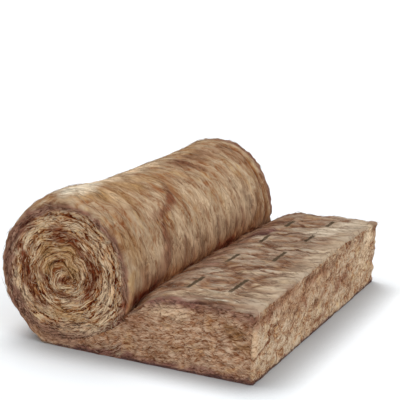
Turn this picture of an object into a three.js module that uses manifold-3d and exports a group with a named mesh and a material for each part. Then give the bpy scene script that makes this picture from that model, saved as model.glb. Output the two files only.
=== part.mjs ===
// Insulation roll: one long mat of mineral wool, wound tight over most of its length, with its free
// tail pulled out flat and swollen back to full thickness. The mat is a single piece, so the part is
// one solid. Millimetres, Z up. The roll's axis runs along Y and the tail points towards +X.
import * as THREE from 'three';
import { mergeVertices } from 'three/addons/utils/BufferGeometryUtils.js';
import Module from 'manifold-3d';

// The mat
const MAT_WIDTH = 1200; // along the roll's axis
const MAT_THICKNESS = 217; // of the tail, swollen free
const TAIL_LENGTH = 610; // from the roll's axis to the cut end
const TAIL_SWELL = 18; // how much thicker the cut end is towards the rear

// The roll
const ROLL_RADIUS = 208;
const TURN_PITCH = 45; // one wound, squeezed turn
const BED_THICKNESS = 19; // the turn that is pressed flat under the roll
const EYE_RADIUS = 13; // where the innermost turn folds in on itself
const EYE_SAG = 15; // how far the inner turns have sunk below the outer ones
const SETTLE_BULGE = 8; // how far the roll has spread over the tail under its own weight
const SETTLE_DIP = 12; // degrees below the axis where it has spread most
const SETTLE_SPREAD = 32; // degrees
const FRONT_SQUEEZE = 16; // how far the front end is squeezed out beside the crease
const SQUEEZE_DIP = 26; // degrees below the axis
const SQUEEZE_SPREAD = 16; // degrees
const SQUEEZE_LENGTH = 60; // along the roll
const REAR_FLARE = 5; // how much wider the roll is at its rear end
const REAR_DENT = 12; // how far that end is pressed in above the tail
const DENT_ANGLE = 24; // degrees above the axis
const DENT_SPREAD = 26; // degrees
const REAR_LENGTH = 170; // how far in from the rear end both reach

// Where the tail leaves the roll
const CREASE_DIP = 16; // degrees below the axis, along most of the roll
const FRONT_CREASE_DIP = 26; // at the front end, where the mat is pinched harder
const REAR_CREASE_DIP = 20; // at the rear end
const CREASE_EASE = 110; // how far in from either end the harder pinch reaches
const SHOULDER_RUN = 170; // from the crease to where the tail is at full thickness
const LIFT_DIP = 35; // degrees below the axis where the left side leaves the circle
const BED_OVERHANG = 30; // how far left of the axis the mat still lies on the floor
const LIFT_EASE = 50; // length of the curve's handles between those two

// The rim of the outermost turn, which has sprung open at the top of the front end
const LIP_HEIGHT = 27;
const LIP_ANGLE = 100; // degrees above the +X side
const LIP_SPREAD = 50; // degrees
const LIP_LENGTH = 440; // along the roll

// Edges and the grooves between the turns
const RIM_RADIUS = 10; // soft edge round both ends
const CORNER_RADIUS = 8; // top edge of the cut end
const GROOVE_WIDTH = 26;
const GROOVE_DEPTH = 15;
const GROOVE_LEAD = 8; // degrees that a groove starts above the crease, in the open air

// Fineness of the faceting
const ROLL_STEPS = 54;
const TURN_STEPS = 32;
const STATION_SPACING = 75;

const AXIS_HEIGHT = BED_THICKNESS + ROLL_RADIUS;
const TURNS = (ROLL_RADIUS - EYE_RADIUS) / TURN_PITCH;
const degrees = THREE.MathUtils.degToRad;

/** A smooth hump: 1 at the peak and fading out either side of it, all round a circle, in radians. */
function hump(angle, peak, spread) {
  const off = THREE.MathUtils.euclideanModulo(angle - peak + Math.PI, 2 * Math.PI) - Math.PI;
  return Math.exp(-((off / spread) ** 2));
}

/** Dip of the crease below the axis, in radians, at one distance from the front end. */
function creaseDip(y) {
  const frontPinch = Math.exp(-((y / CREASE_EASE) ** 2));
  const rearPinch = Math.exp(-(((MAT_WIDTH - y) / CREASE_EASE) ** 2));
  const dip = CREASE_DIP
    + (FRONT_CREASE_DIP - CREASE_DIP) * frontPinch
    + (REAR_CREASE_DIP - CREASE_DIP) * rearPinch;
  return degrees(dip);
}

/** How far the sprung rim stands off the roll. It starts flush at the front end and dies away. */
function lipHeight(angle, y) {
  const along = Math.min(y / LIP_LENGTH, 1);
  const swell = Math.sin(Math.PI * Math.sqrt(along)) ** 2;
  return LIP_HEIGHT * swell * hump(angle, degrees(LIP_ANGLE), degrees(LIP_SPREAD));
}

/** How far the settled roll stands out beyond the plain round, or in from it where it is dented. */
function settledSpread(angle, y) {
  const bulge = SETTLE_BULGE * hump(angle, -degrees(SETTLE_DIP), degrees(SETTLE_SPREAD));
  const squeeze = FRONT_SQUEEZE * hump(angle, -degrees(SQUEEZE_DIP), degrees(SQUEEZE_SPREAD));
  const dent = REAR_DENT * hump(angle, degrees(DENT_ANGLE), degrees(DENT_SPREAD));
  const nearFront = Math.exp(-((y / SQUEEZE_LENGTH) ** 2));
  const nearRear = THREE.MathUtils.smoothstep(y, MAT_WIDTH - REAR_LENGTH, MAT_WIDTH);
  return bulge + squeeze * nearFront + (REAR_FLARE - dent) * nearRear;
}

/** How far the soft edge draws every surface in, at one distance from the front end. */
function edgeInset(y) {
  const toEnd = Math.min(y, MAT_WIDTH - y, RIM_RADIUS);
  const rest = RIM_RADIUS - toEnd;
  return RIM_RADIUS - Math.sqrt(RIM_RADIUS ** 2 - rest ** 2);
}

/** Cross-section of the whole mat at one distance from the front end, counter-clockwise from there. */
function outlineAt(y) {
  const inset = edgeInset(y);
  const radius = ROLL_RADIUS - inset;
  const top = MAT_THICKNESS - inset;
  const endTop = top + TAIL_SWELL * Math.sin(Math.PI * (y / MAT_WIDTH) ** 2);
  const end = TAIL_LENGTH - inset;
  const dip = creaseDip(y);
  const liftAngle = Math.PI + degrees(LIFT_DIP);
  const onRoll = (angle) => {
    const r = radius + settledSpread(angle, y) + lipHeight(angle, y);
    return new THREE.Vector2(r * Math.cos(angle), AXIS_HEIGHT + r * Math.sin(angle));
  };

  // The underside and the cut end, with its rounded top corner
  const outline = [new THREE.Vector2(-BED_OVERHANG, 0), new THREE.Vector2(end, 0)];
  const corner = new THREE.QuadraticBezierCurve(
    new THREE.Vector2(end, endTop - CORNER_RADIUS),
    new THREE.Vector2(end, endTop),
    new THREE.Vector2(end - CORNER_RADIUS, endTop),
  );
  outline.push(...corner.getPoints(4));

  // The tail's top, then its shoulder down into the crease
  const crease = onRoll(-dip);
  const shoulder = new THREE.Vector2(crease.x + SHOULDER_RUN, top);
  const topLine = new THREE.LineCurve(outline.at(-1), shoulder);
  outline.push(...topLine.getPoints(4).slice(1, -1));
  const fall = new THREE.CubicBezierCurve(
    shoulder,
    new THREE.Vector2(crease.x + SHOULDER_RUN * 0.6, top),
    new THREE.Vector2(crease.x + SHOULDER_RUN * 0.35, THREE.MathUtils.lerp(crease.y, top, 0.75)),
    crease,
  );
  outline.push(...fall.getPoints(8));

  // Round the roll, over the top and down its left side
  for (let step = 1; step <= ROLL_STEPS; step += 1) {
    outline.push(onRoll(THREE.MathUtils.lerp(-dip, liftAngle, step / ROLL_STEPS)));
  }

  // The outermost turn leaves the circle and lies down on the floor
  const leave = onRoll(liftAngle);
  const lift = new THREE.CubicBezierCurve(
    leave,
    new THREE.Vector2(
      leave.x - LIFT_EASE * Math.sin(liftAngle),
      leave.y + LIFT_EASE * Math.cos(liftAngle),
    ),
    new THREE.Vector2(-BED_OVERHANG - LIFT_EASE, 0),
    new THREE.Vector2(-BED_OVERHANG, 0),
  );
  outline.push(...lift.getPoints(9).slice(1, -1));
  return outline;
}

/** Distances from the front end at which the mat is sectioned: close together at both soft edges. */
function sectionStations() {
  const edge = [0, 0.1, 0.4, 1].map((share) => share * RIM_RADIUS);
  const span = MAT_WIDTH - 2 * RIM_RADIUS;
  const spans = Math.round(span / STATION_SPACING);
  const middle = [];
  for (let step = 1; step < spans; step += 1) {
    middle.push(RIM_RADIUS + (span * step) / spans);
  }
  const rear = edge.map((y) => MAT_WIDTH - y).reverse();
  return [...edge, ...middle, ...rear];
}

/** A closed skin through outlines that all have the same number of points. */
function loft(stations, outlines) {
  const count = outlines[0].length;
  const positions = [];
  outlines.forEach((outline, i) => {
    outline.forEach((point) => positions.push(point.x, stations[i], point.y));
  });
  const index = [];
  for (let i = 0; i + 1 < outlines.length; i += 1) {
    for (let j = 0; j < count; j += 1) {
      const here = i * count + j;
      const next = i * count + ((j + 1) % count);
      index.push(here, next + count, next);
      index.push(here, here + count, next + count);
    }
  }
  const rear = (outlines.length - 1) * count;
  THREE.ShapeUtils.triangulateShape(outlines[0], []).forEach(([a, b, c]) => index.push(a, b, c));
  THREE.ShapeUtils.triangulateShape(outlines.at(-1), []).forEach(([a, b, c]) => {
    index.push(rear + a, rear + c, rear + b);
  });
  const geometry = new THREE.BufferGeometry();
  geometry.setAttribute('position', new THREE.Float32BufferAttribute(positions, 3));
  geometry.setIndex(index);
  return geometry;
}

/** The line between one turn and the next on an end face: from the crease, under the roll and inwards. */
class TurnLine extends THREE.Curve {
  constructor(y) {
    super();
    this.y = y;
  }

  /** Points lie further apart on the outer turns, just so far that every turn is equally round. */
  getUtoTmapping(u) {
    const round = THREE.MathUtils.lerp(ROLL_RADIUS ** 1.5, EYE_RADIUS ** 1.5, u) ** (2 / 3);
    return (ROLL_RADIUS - round) / (ROLL_RADIUS - EYE_RADIUS);
  }

  getPoint(t, target = new THREE.Vector3()) {
    const lead = degrees(GROOVE_LEAD);
    const wound = t * (TURNS * 2 * Math.PI + lead) - lead;
    const angle = -creaseDip(this.y) - wound;
    const round = ROLL_RADIUS - (TURN_PITCH * Math.max(wound, 0)) / (2 * Math.PI);
    const outwards = round / ROLL_RADIUS;
    const radius = round + settledSpread(angle, this.y) * outwards ** 3;
    const sag = EYE_SAG * (1 - outwards);
    const z = AXIS_HEIGHT - sag + radius * Math.sin(angle);
    return target.set(radius * Math.cos(angle), this.y, z);
  }
}

/** A cutter along the turn line. Its flared lips leave every turn with a soft rounded edge. */
function grooveCutter(y, inward) {
  const section = new THREE.Shape();
  const half = GROOVE_WIDTH / 2;
  const clear = RIM_RADIUS;
  section.moveTo(-inward * clear, half);
  for (const across of [1, 0.6, 0.25, 0, -0.25, -0.6, -1]) {
    const depth = GROOVE_DEPTH * (1 - Math.abs(across)) ** 2;
    section.lineTo(inward * depth, across * half);
  }
  section.lineTo(-inward * clear, -half);
  section.closePath();
  return new THREE.ExtrudeGeometry(section, {
    steps: Math.round(TURNS * TURN_STEPS),
    extrudePath: new TurnLine(y),
  });
}

const wasm = await Module();
wasm.setup();

/** A manifold solid from a closed three.js geometry. */
function toSolid(geometry) {
  const bare = geometry.clone();
  bare.deleteAttribute('normal');
  bare.deleteAttribute('uv');
  const merged = mergeVertices(bare, 1e-3);
  return new wasm.Manifold(new wasm.Mesh({
    numProp: 3,
    vertProperties: Float32Array.from(merged.attributes.position.array),
    triVerts: Uint32Array.from(merged.index.array),
  }));
}

/** A three.js geometry from a manifold solid. */
function toGeometry(solid) {
  const mesh = solid.getMesh();
  const geometry = new THREE.BufferGeometry();
  geometry.setAttribute('position', new THREE.BufferAttribute(mesh.vertProperties, 3));
  geometry.setIndex(new THREE.BufferAttribute(mesh.triVerts, 1));
  geometry.computeVertexNormals();
  return geometry;
}

/** The mat: lofted from front to rear, with the line between its turns cut into both ends. */
function woolMat() {
  const stations = sectionStations();
  const body = toSolid(loft(stations, stations.map(outlineAt)));
  const frontGroove = toSolid(grooveCutter(0, -1));
  const rearGroove = toSolid(grooveCutter(MAT_WIDTH, 1));
  const material = new THREE.MeshStandardMaterial({ color: 0xa8835f, roughness: 0.95, metalness: 0 });
  const mesh = new THREE.Mesh(toGeometry(body.subtract(frontGroove).subtract(rearGroove)), material);
  mesh.name = 'wool_mat';
  return mesh;
}

// The origin is on the floor under the middle of the whole piece
const mat = woolMat();
const box = new THREE.Box3().setFromObject(mat);
const middle = box.getCenter(new THREE.Vector3());
mat.position.set(-middle.x, -middle.y, -box.min.z);

const group = new THREE.Group();
group.add(mat);

export default group;
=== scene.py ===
"""Finish of the part-unrolled mineral wool mat: its matted skin, wound ends, cut faces and loose fibre."""
import itertools
import math
from collections import namedtuple

import bpy
import numpy as np
from mathutils import Matrix, Vector
from mathutils.geometry import delaunay_2d_cdt


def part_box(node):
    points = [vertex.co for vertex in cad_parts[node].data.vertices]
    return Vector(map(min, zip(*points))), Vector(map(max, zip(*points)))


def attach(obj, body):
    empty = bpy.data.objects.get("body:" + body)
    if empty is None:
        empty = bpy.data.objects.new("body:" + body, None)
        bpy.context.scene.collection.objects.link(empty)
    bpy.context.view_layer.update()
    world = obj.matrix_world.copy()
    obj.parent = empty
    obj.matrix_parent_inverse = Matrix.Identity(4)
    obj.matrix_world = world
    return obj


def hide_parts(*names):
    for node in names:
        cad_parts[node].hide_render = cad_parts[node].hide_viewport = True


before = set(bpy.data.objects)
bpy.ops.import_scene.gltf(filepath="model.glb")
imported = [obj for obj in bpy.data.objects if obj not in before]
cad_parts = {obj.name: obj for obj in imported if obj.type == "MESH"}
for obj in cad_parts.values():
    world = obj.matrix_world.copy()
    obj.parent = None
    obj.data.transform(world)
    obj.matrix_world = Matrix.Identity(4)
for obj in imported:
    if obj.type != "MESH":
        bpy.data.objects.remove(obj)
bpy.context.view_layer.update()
mat_low, mat_high = (Vector(corner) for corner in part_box("wool_mat"))

# Sizes of the mat in metres, measured from the roll's axis, the front end and the floor
MAT_WIDTH = mat_high.y - mat_low.y
MAT_THICKNESS = 0.217
TAIL_LENGTH = 0.610
TAIL_SWELL = 0.018
ROLL_RADIUS = 0.208
TURN_PITCH = 0.045
BED_THICKNESS = 0.019
EYE_SAG = 0.015
SETTLE_BULGE, SETTLE_ANGLE, SETTLE_SPREAD = 0.008, math.radians(-12), math.radians(32)
FRONT_SQUEEZE, SQUEEZE_ANGLE, SQUEEZE_SPREAD = 0.016, math.radians(-26), math.radians(16)
SQUEEZE_LENGTH = 0.06
REAR_FLARE = 0.005
REAR_DENT, DENT_ANGLE, DENT_SPREAD = 0.012, math.radians(24), math.radians(26)
REAR_LENGTH = 0.17
CREASE_DIP = math.radians(16)
FRONT_CREASE_DIP = math.radians(26)
REAR_CREASE_DIP = math.radians(20)
CREASE_EASE = 0.11
SHOULDER_RUN = 0.17
LIFT_ANGLE = math.pi + math.radians(35)
BED_OVERHANG = 0.03
LIFT_EASE = 0.05
LIP_HEIGHT, LIP_ANGLE, LIP_SPREAD = 0.027, math.radians(100), math.radians(50)
LIP_LENGTH = 0.44
RIM_RADIUS = 0.010
CORNER_RADIUS = 0.008
RING_WIDTH = 0.022  # how wide the dusky band just inside the rim of a wound end is
REAR_TUCK = 0.075  # how far from the rear end the roll is drawn in by a faint tuck

FULL_TURN = 2 * math.pi
AXIS_HEIGHT = BED_THICKNESS + ROLL_RADIUS
ORIGIN = Vector((mat_high.x - TAIL_LENGTH, mat_low.y, mat_low.z))

# Fineness of the skin and the ends
SKIN_STEP = 0.0062
FRONT_STEP = 0.0034
REAR_STEP = 0.0060
CURVE_STEPS = 24  # steps along the underside, and along the curve where the roll lifts off the floor

# The finishes, one for each kind of surface, in the order of the skin's material slots
FINISHES = ("roll_skin", "tail_skin", "cut_face", "underside", "wound_end", "layered_side")


def paint(red, green, blue):
    """A colour as it looks, each part from 0 to 255, in the linear numbers that shaders take."""
    parts = [part / 255 for part in (red, green, blue)]
    return (*[p / 12.92 if p <= 0.04045 else ((p + 0.055) / 1.055) ** 2.4 for p in parts], 1)


# ---------------------------------------------------------------- smooth random heights

HASH_STEPS = (73856093, 19349663, 83492791)
SEED_STEP, FIRST_MIX, SECOND_MIX, LARGEST_HASH = 26544357, 1274126177, 668265263, 0xFFFFFFFF


def columns(*parts):
    """Places from their coordinates; a coordinate given as one number holds for all the places."""
    return np.stack(np.broadcast_arrays(*parts), -1)


def smoothstep(value, low, high):
    t = np.clip((value - low) / (high - low), 0, 1)
    return t * t * (3 - 2 * t)


def near(distance, reach):
    """1 where the distance is 0, and fading out over about the given reach."""
    return np.exp(-((distance / reach) ** 2))


def lattice_noise(places, seed):
    """Smooth random value between about -1 and 1 at each place, with one lump per unit of length."""
    cell = np.floor(places).astype(np.int64)
    within = places - cell
    ease = within**3 * (within * (within * 6 - 15) + 10)
    total = np.zeros(len(places))
    for corner in itertools.product((0, 1), repeat=3):
        x, y, z = ((cell + corner) * HASH_STEPS).T
        mixed = x ^ y ^ z ^ seed * SEED_STEP
        mixed = (mixed ^ (mixed >> 13)) * FIRST_MIX & LARGEST_HASH
        mixed = (mixed ^ (mixed >> 15)) * SECOND_MIX & LARGEST_HASH
        slope = np.stack([(mixed >> shift & 1023) / 511.5 - 1 for shift in (2, 12, 22)], 1)
        share = np.where(corner, ease, 1 - ease).prod(1)
        total += share * (slope * (within - corner)).sum(1)
    return total * 1.5


def layered_noise(places, size, octaves, seed):
    """Noise whose largest lumps measure size, one length or three, with finer ones on top."""
    places = places / np.asarray(size)
    total = np.zeros(len(places))
    for octave in range(octaves):
        total += lattice_noise(places * 2**octave + 7.3 * octave, seed + octave) / 2**octave
    return total


def valleys(places, size, octaves, seed, width):
    """Sharp valleys between round pillows: 0 on the pillows and down to -1 in the valleys."""
    return -np.clip(1 - np.abs(layered_noise(places, size, octaves, seed)) / width, 0, 1) ** 1.5


# ---------------------------------------------------------------- shape of the mat

def hump(angle, peak, spread):
    """A smooth hump round a circle: 1 at the peak and fading out either side of it."""
    return near((angle - peak + math.pi) % FULL_TURN - math.pi, spread)


def crease_dip(y):
    """Dip of the crease below the axis at a distance from the front end."""
    front = (FRONT_CREASE_DIP - CREASE_DIP) * near(y, CREASE_EASE)
    rear = (REAR_CREASE_DIP - CREASE_DIP) * near(MAT_WIDTH - y, CREASE_EASE)
    return CREASE_DIP + front + rear


def spread_beyond_round(angle, y):
    """How far the settled roll stands out beyond the plain round, or in from it where it is dented."""
    bulge = SETTLE_BULGE * hump(angle, SETTLE_ANGLE, SETTLE_SPREAD)
    squeeze = FRONT_SQUEEZE * hump(angle, SQUEEZE_ANGLE, SQUEEZE_SPREAD)
    dent = REAR_DENT * hump(angle, DENT_ANGLE, DENT_SPREAD)
    near_rear = smoothstep(y, MAT_WIDTH - REAR_LENGTH, MAT_WIDTH)
    return bulge + squeeze * near(y, SQUEEZE_LENGTH) + (REAR_FLARE - dent) * near_rear


def lip_height(angle, y):
    """How far the sprung rim at the front end stands off the roll."""
    swell = math.sin(math.pi * math.sqrt(min(y / LIP_LENGTH, 1))) ** 2
    return LIP_HEIGHT * swell * hump(angle, LIP_ANGLE, LIP_SPREAD)


def edge_inset(y):
    """How far the soft edge draws the surface in near either end."""
    rest = RIM_RADIUS - min(y, MAT_WIDTH - y, RIM_RADIUS)
    return RIM_RADIUS - math.sqrt(RIM_RADIUS**2 - rest**2)


def bezier(points, count):
    """Places along a Bezier curve of two to four points, leaving out its first."""
    t = np.linspace(0, 1, count + 1)[1:, None]
    points = np.array(points, float)
    while len(points) > 1:
        points = [a + (b - a) * t for a, b in zip(points, points[1:])]
    return points[0]


def steps(length):
    return max(1, round(length / SKIN_STEP))


def outline_at(y):
    """The mat's section at a distance from the front end, as the places along each stretch of it."""
    inset = edge_inset(y)
    radius, top, end = ROLL_RADIUS - inset, MAT_THICKNESS - inset, TAIL_LENGTH - inset
    end_top = top + TAIL_SWELL * math.sin(math.pi * (y / MAT_WIDTH) ** 2)
    dip = crease_dip(y)

    def round_at(angle):
        out = radius + spread_beyond_round(angle, y) + lip_height(angle, y)
        return columns(out * np.cos(angle), AXIS_HEIGHT + out * np.sin(angle))

    crease = round_at(-dip)
    leave = round_at(LIFT_ANGLE)
    shoulder = (crease[0] + SHOULDER_RUN, top)
    shoulder_curve = [
        shoulder,
        (crease[0] + SHOULDER_RUN * 0.6, top),
        (crease[0] + SHOULDER_RUN * 0.35, crease[1] + (top - crease[1]) * 0.75),
        crease,
    ]
    heading = LIFT_EASE * np.array([-math.sin(LIFT_ANGLE), math.cos(LIFT_ANGLE)])
    bed_end = (-BED_OVERHANG, 0)
    corner_foot, corner_head = (end, end_top - CORNER_RADIUS), (end - CORNER_RADIUS, end_top)
    top_steps = steps(TAIL_LENGTH - ROLL_RADIUS - SHOULDER_RUN - CORNER_RADIUS)
    round_steps = steps(ROLL_RADIUS * (CREASE_DIP + LIFT_ANGLE))
    return {
        "underside": bezier([bed_end, (end, 0)], CURVE_STEPS),
        "cut_face": bezier([(end, 0), corner_foot], steps(MAT_THICKNESS)),
        "tail_skin": np.concatenate([
            bezier([corner_foot, (end, end_top), corner_head], 4),
            bezier([corner_head, shoulder], top_steps),
            bezier(shoulder_curve, steps(SHOULDER_RUN * 1.1)),
        ]),
        "roll_skin": np.concatenate([
            round_at(np.linspace(-dip, LIFT_ANGLE, round_steps + 1)[1:]),
            bezier([leave, leave + heading, (-BED_OVERHANG - LIFT_EASE, 0), bed_end], CURVE_STEPS),
        ]),
    }


def station_places():
    """Distances from the front end of the sections: closer together round both soft edges."""
    edge = RIM_RADIUS * np.array([0, 0.05, 0.2, 0.5])
    middle = np.linspace(RIM_RADIUS, MAT_WIDTH - RIM_RADIUS, steps(MAT_WIDTH - 2 * RIM_RADIUS) + 1)
    return np.concatenate([edge, middle, (MAT_WIDTH - edge)[::-1]])


# ---------------------------------------------------------------- where a place lies in the wound mat

LEAST_WOUND = 0.3  # the outermost turn counts as no thinner than it is at this angle from the crease
BED_LIMIT = math.radians(112)  # how far round from the crease the mat under the roll still counts as flat
BED_STEPS = 40
LEAST_FLAT = 0.01
AXIS_ALONG = 0.24  # the flat mat's place below the roll's axis, counted along the mat
TAIL_LEAN = 0.57  # slope of the line between roll and tail above the crease


class WoundPlace:
    """Places on an end face as places in the mat: how far along it, and how deep from its outer face.

    turn counts whole turns inwards from the outermost, which is turn 0 and starts under the crease.
    wound is the angle wound from the crease, under the roll and up its far side, within one turn.
    along is the distance along the mat, deep the share of its thickness and below_rim the depth
    below the roll's outline. Places that belong together take their turn from the nearest one.
    """

    def __init__(self, x, z, y, nearest=None):
        out = np.hypot(x, z - AXIS_HEIGHT)
        for _ in range(4):
            outwards = np.clip(out / ROLL_RADIUS, 0, 1.2)
            centre = AXIS_HEIGHT - EYE_SAG * (1 - outwards)
            angle = np.arctan2(z - centre, x)
            out = np.hypot(x, z - centre) - spread_beyond_round(angle, y) * outwards**3
        self.wound = (-crease_dip(y) - angle) % FULL_TURN
        if nearest is not None:
            self.wound = nearest.wound + (self.wound - nearest.wound + math.pi) % FULL_TURN - math.pi
        crossed = (ROLL_RADIUS - out) / TURN_PITCH - self.wound / FULL_TURN
        self.turn = np.floor(crossed) + 1 if nearest is None else nearest.turn
        total = self.wound + FULL_TURN * self.turn
        self.along = ROLL_RADIUS * total - TURN_PITCH * total**2 / (2 * FULL_TURN)
        outermost = self.turn == 0
        thin = np.maximum(np.abs(self.wound), LEAST_WOUND) / FULL_TURN
        self.deep = np.where(outermost, (crossed + thin) / thin, crossed + 1 - self.turn)
        self.thickness = TURN_PITCH * np.where(outermost, thin, 1)
        self.below_rim = ROLL_RADIUS - out


def end_face_places(x, z, y, nearest=None):
    """Mat places over a whole end face: along, deep and thickness, with the wound place they came from."""
    wound = WoundPlace(x, z, y, nearest and nearest["wound"])
    outline = outline_at(y)
    top = np.concatenate([outline["tail_skin"][::-1], outline["cut_face"][-1:]])
    lift = outline["roll_skin"][-CURVE_STEPS:]
    turned = np.linspace(0, BED_LIMIT, BED_STEPS)
    angle = -crease_dip(y) - turned
    first_line = ROLL_RADIUS - TURN_PITCH * turned / FULL_TURN
    under = columns(first_line * np.cos(angle), AXIS_HEIGHT + first_line * np.sin(angle))[::-1]
    ceiling = np.interp(x, *np.concatenate([under, top]).T)
    floor = np.interp(x, *lift.T)
    tall = np.maximum(ceiling - floor, LEAST_FLAT)
    if nearest is None:
        crease_x, crease_z = outline["tail_skin"][-1]
        in_bed = (wound.turn == 0) & (wound.wound < BED_LIMIT)
        on_tail = x - crease_x > TAIL_LEAN * np.maximum(z - crease_z, 0)
        flat = in_bed | on_tail
    else:
        flat = nearest["flat"]
    along = np.where(flat, AXIS_ALONG - x, wound.along)
    deep = np.where(flat, (z - floor) / tall, wound.deep)
    thickness = np.where(flat, tall, wound.thickness)
    return {"wound": wound, "flat": flat, "along": along, "deep": deep, "thickness": thickness}


# ---------------------------------------------------------------- stains, painted light and shade, and folds at given places

def on_roll(degrees, y):
    """A place on the roll's skin, by the angle above the tail's side and the distance from the front."""
    angle = math.radians(degrees)
    out = ROLL_RADIUS + SETTLE_BULGE / 2 + lip_height(angle, y)
    return out * math.cos(angle), y, AXIS_HEIGHT + out * math.sin(angle)


def on_front(x, height):
    return x, 0, height


def on_rear(x, height):
    return x, MAT_WIDTH, height


def on_cut_face(y, height):
    return TAIL_LENGTH, y, height


def segment_distance(places, start, end):
    """Distance from each place to the straight line between two places."""
    start, end = np.array(start, float), np.array(end, float)
    run = end - start
    share = np.clip((places - start) @ run / max(run @ run, 1e-9), 0, 1)
    return np.linalg.norm(places - start - share[:, None] * run, axis=1)


# Where the crease gapes open along the roll: where each gap starts and ends, and how deep it is, from 0 to 1
CREASE_GAPS = [(-0.05, 0.205, 1.0), (0.42, 0.495, 0.7), (0.67, 0.86, 0.8), (0.935, 1.04, 0.6)]


def crease_gap(y):
    """How far the crease gapes open at each y, from 0 to 1."""
    gap = np.zeros(len(y))
    for start, end, depth in CREASE_GAPS:
        opens = smoothstep(y, start - 0.03, start + 0.02)
        closes = 1 - smoothstep(y, end - 0.02, end + 0.03)
        gap = np.maximum(gap, depth * opens * closes)
    return gap


def stains_and_painted_light_on(surface, rows):
    """Stains and painted light and shade on one surface, each given by its first place, its last one, its
    reach, colour and strength.
    """
    return [(surface(a, b), surface(c, d), *look) for a, b, c, d, *look in rows]


def along_arc(first, last):
    """Angles from one to another, in degrees and about 12 degrees apart."""
    return np.linspace(first, last, 2 + int(abs(last - first) / 12))


def round_roll(first, last, y, *look):
    """Rows of a patch that follows the roll's round from one angle to another."""
    turns = along_arc(first, last)
    return [(a, y, b, y, *look) for a, b in zip(turns, turns[1:])]


def round_end(first, last, inset, y, *look):
    """Stains on an end face that follow the rim from one angle to another, some way inside it."""
    kept = 1 - inset / ROLL_RADIUS
    rim = [on_roll(turn, y) for turn in along_arc(first, last)]
    places = [(x * kept, y, AXIS_HEIGHT + (z - AXIS_HEIGHT) * kept) for x, _, z in rim]
    return [(start, end, *look) for start, end in zip(places, places[1:])]


# Stains, and painted light and shade: where each starts and ends, how far it reaches, its colour and how
# strong it is. A place on the roll is given in degrees and metres from the front, and one on a flat side by
# its two places in that side
RUST_RED, BROWN, UMBER = (122, 74, 50), (122, 84, 60), (92, 44, 24)
OCHRE, PLUM, CREAM, PALE = (160, 122, 76), (124, 84, 74), (206, 182, 152), (222, 210, 188)
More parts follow.
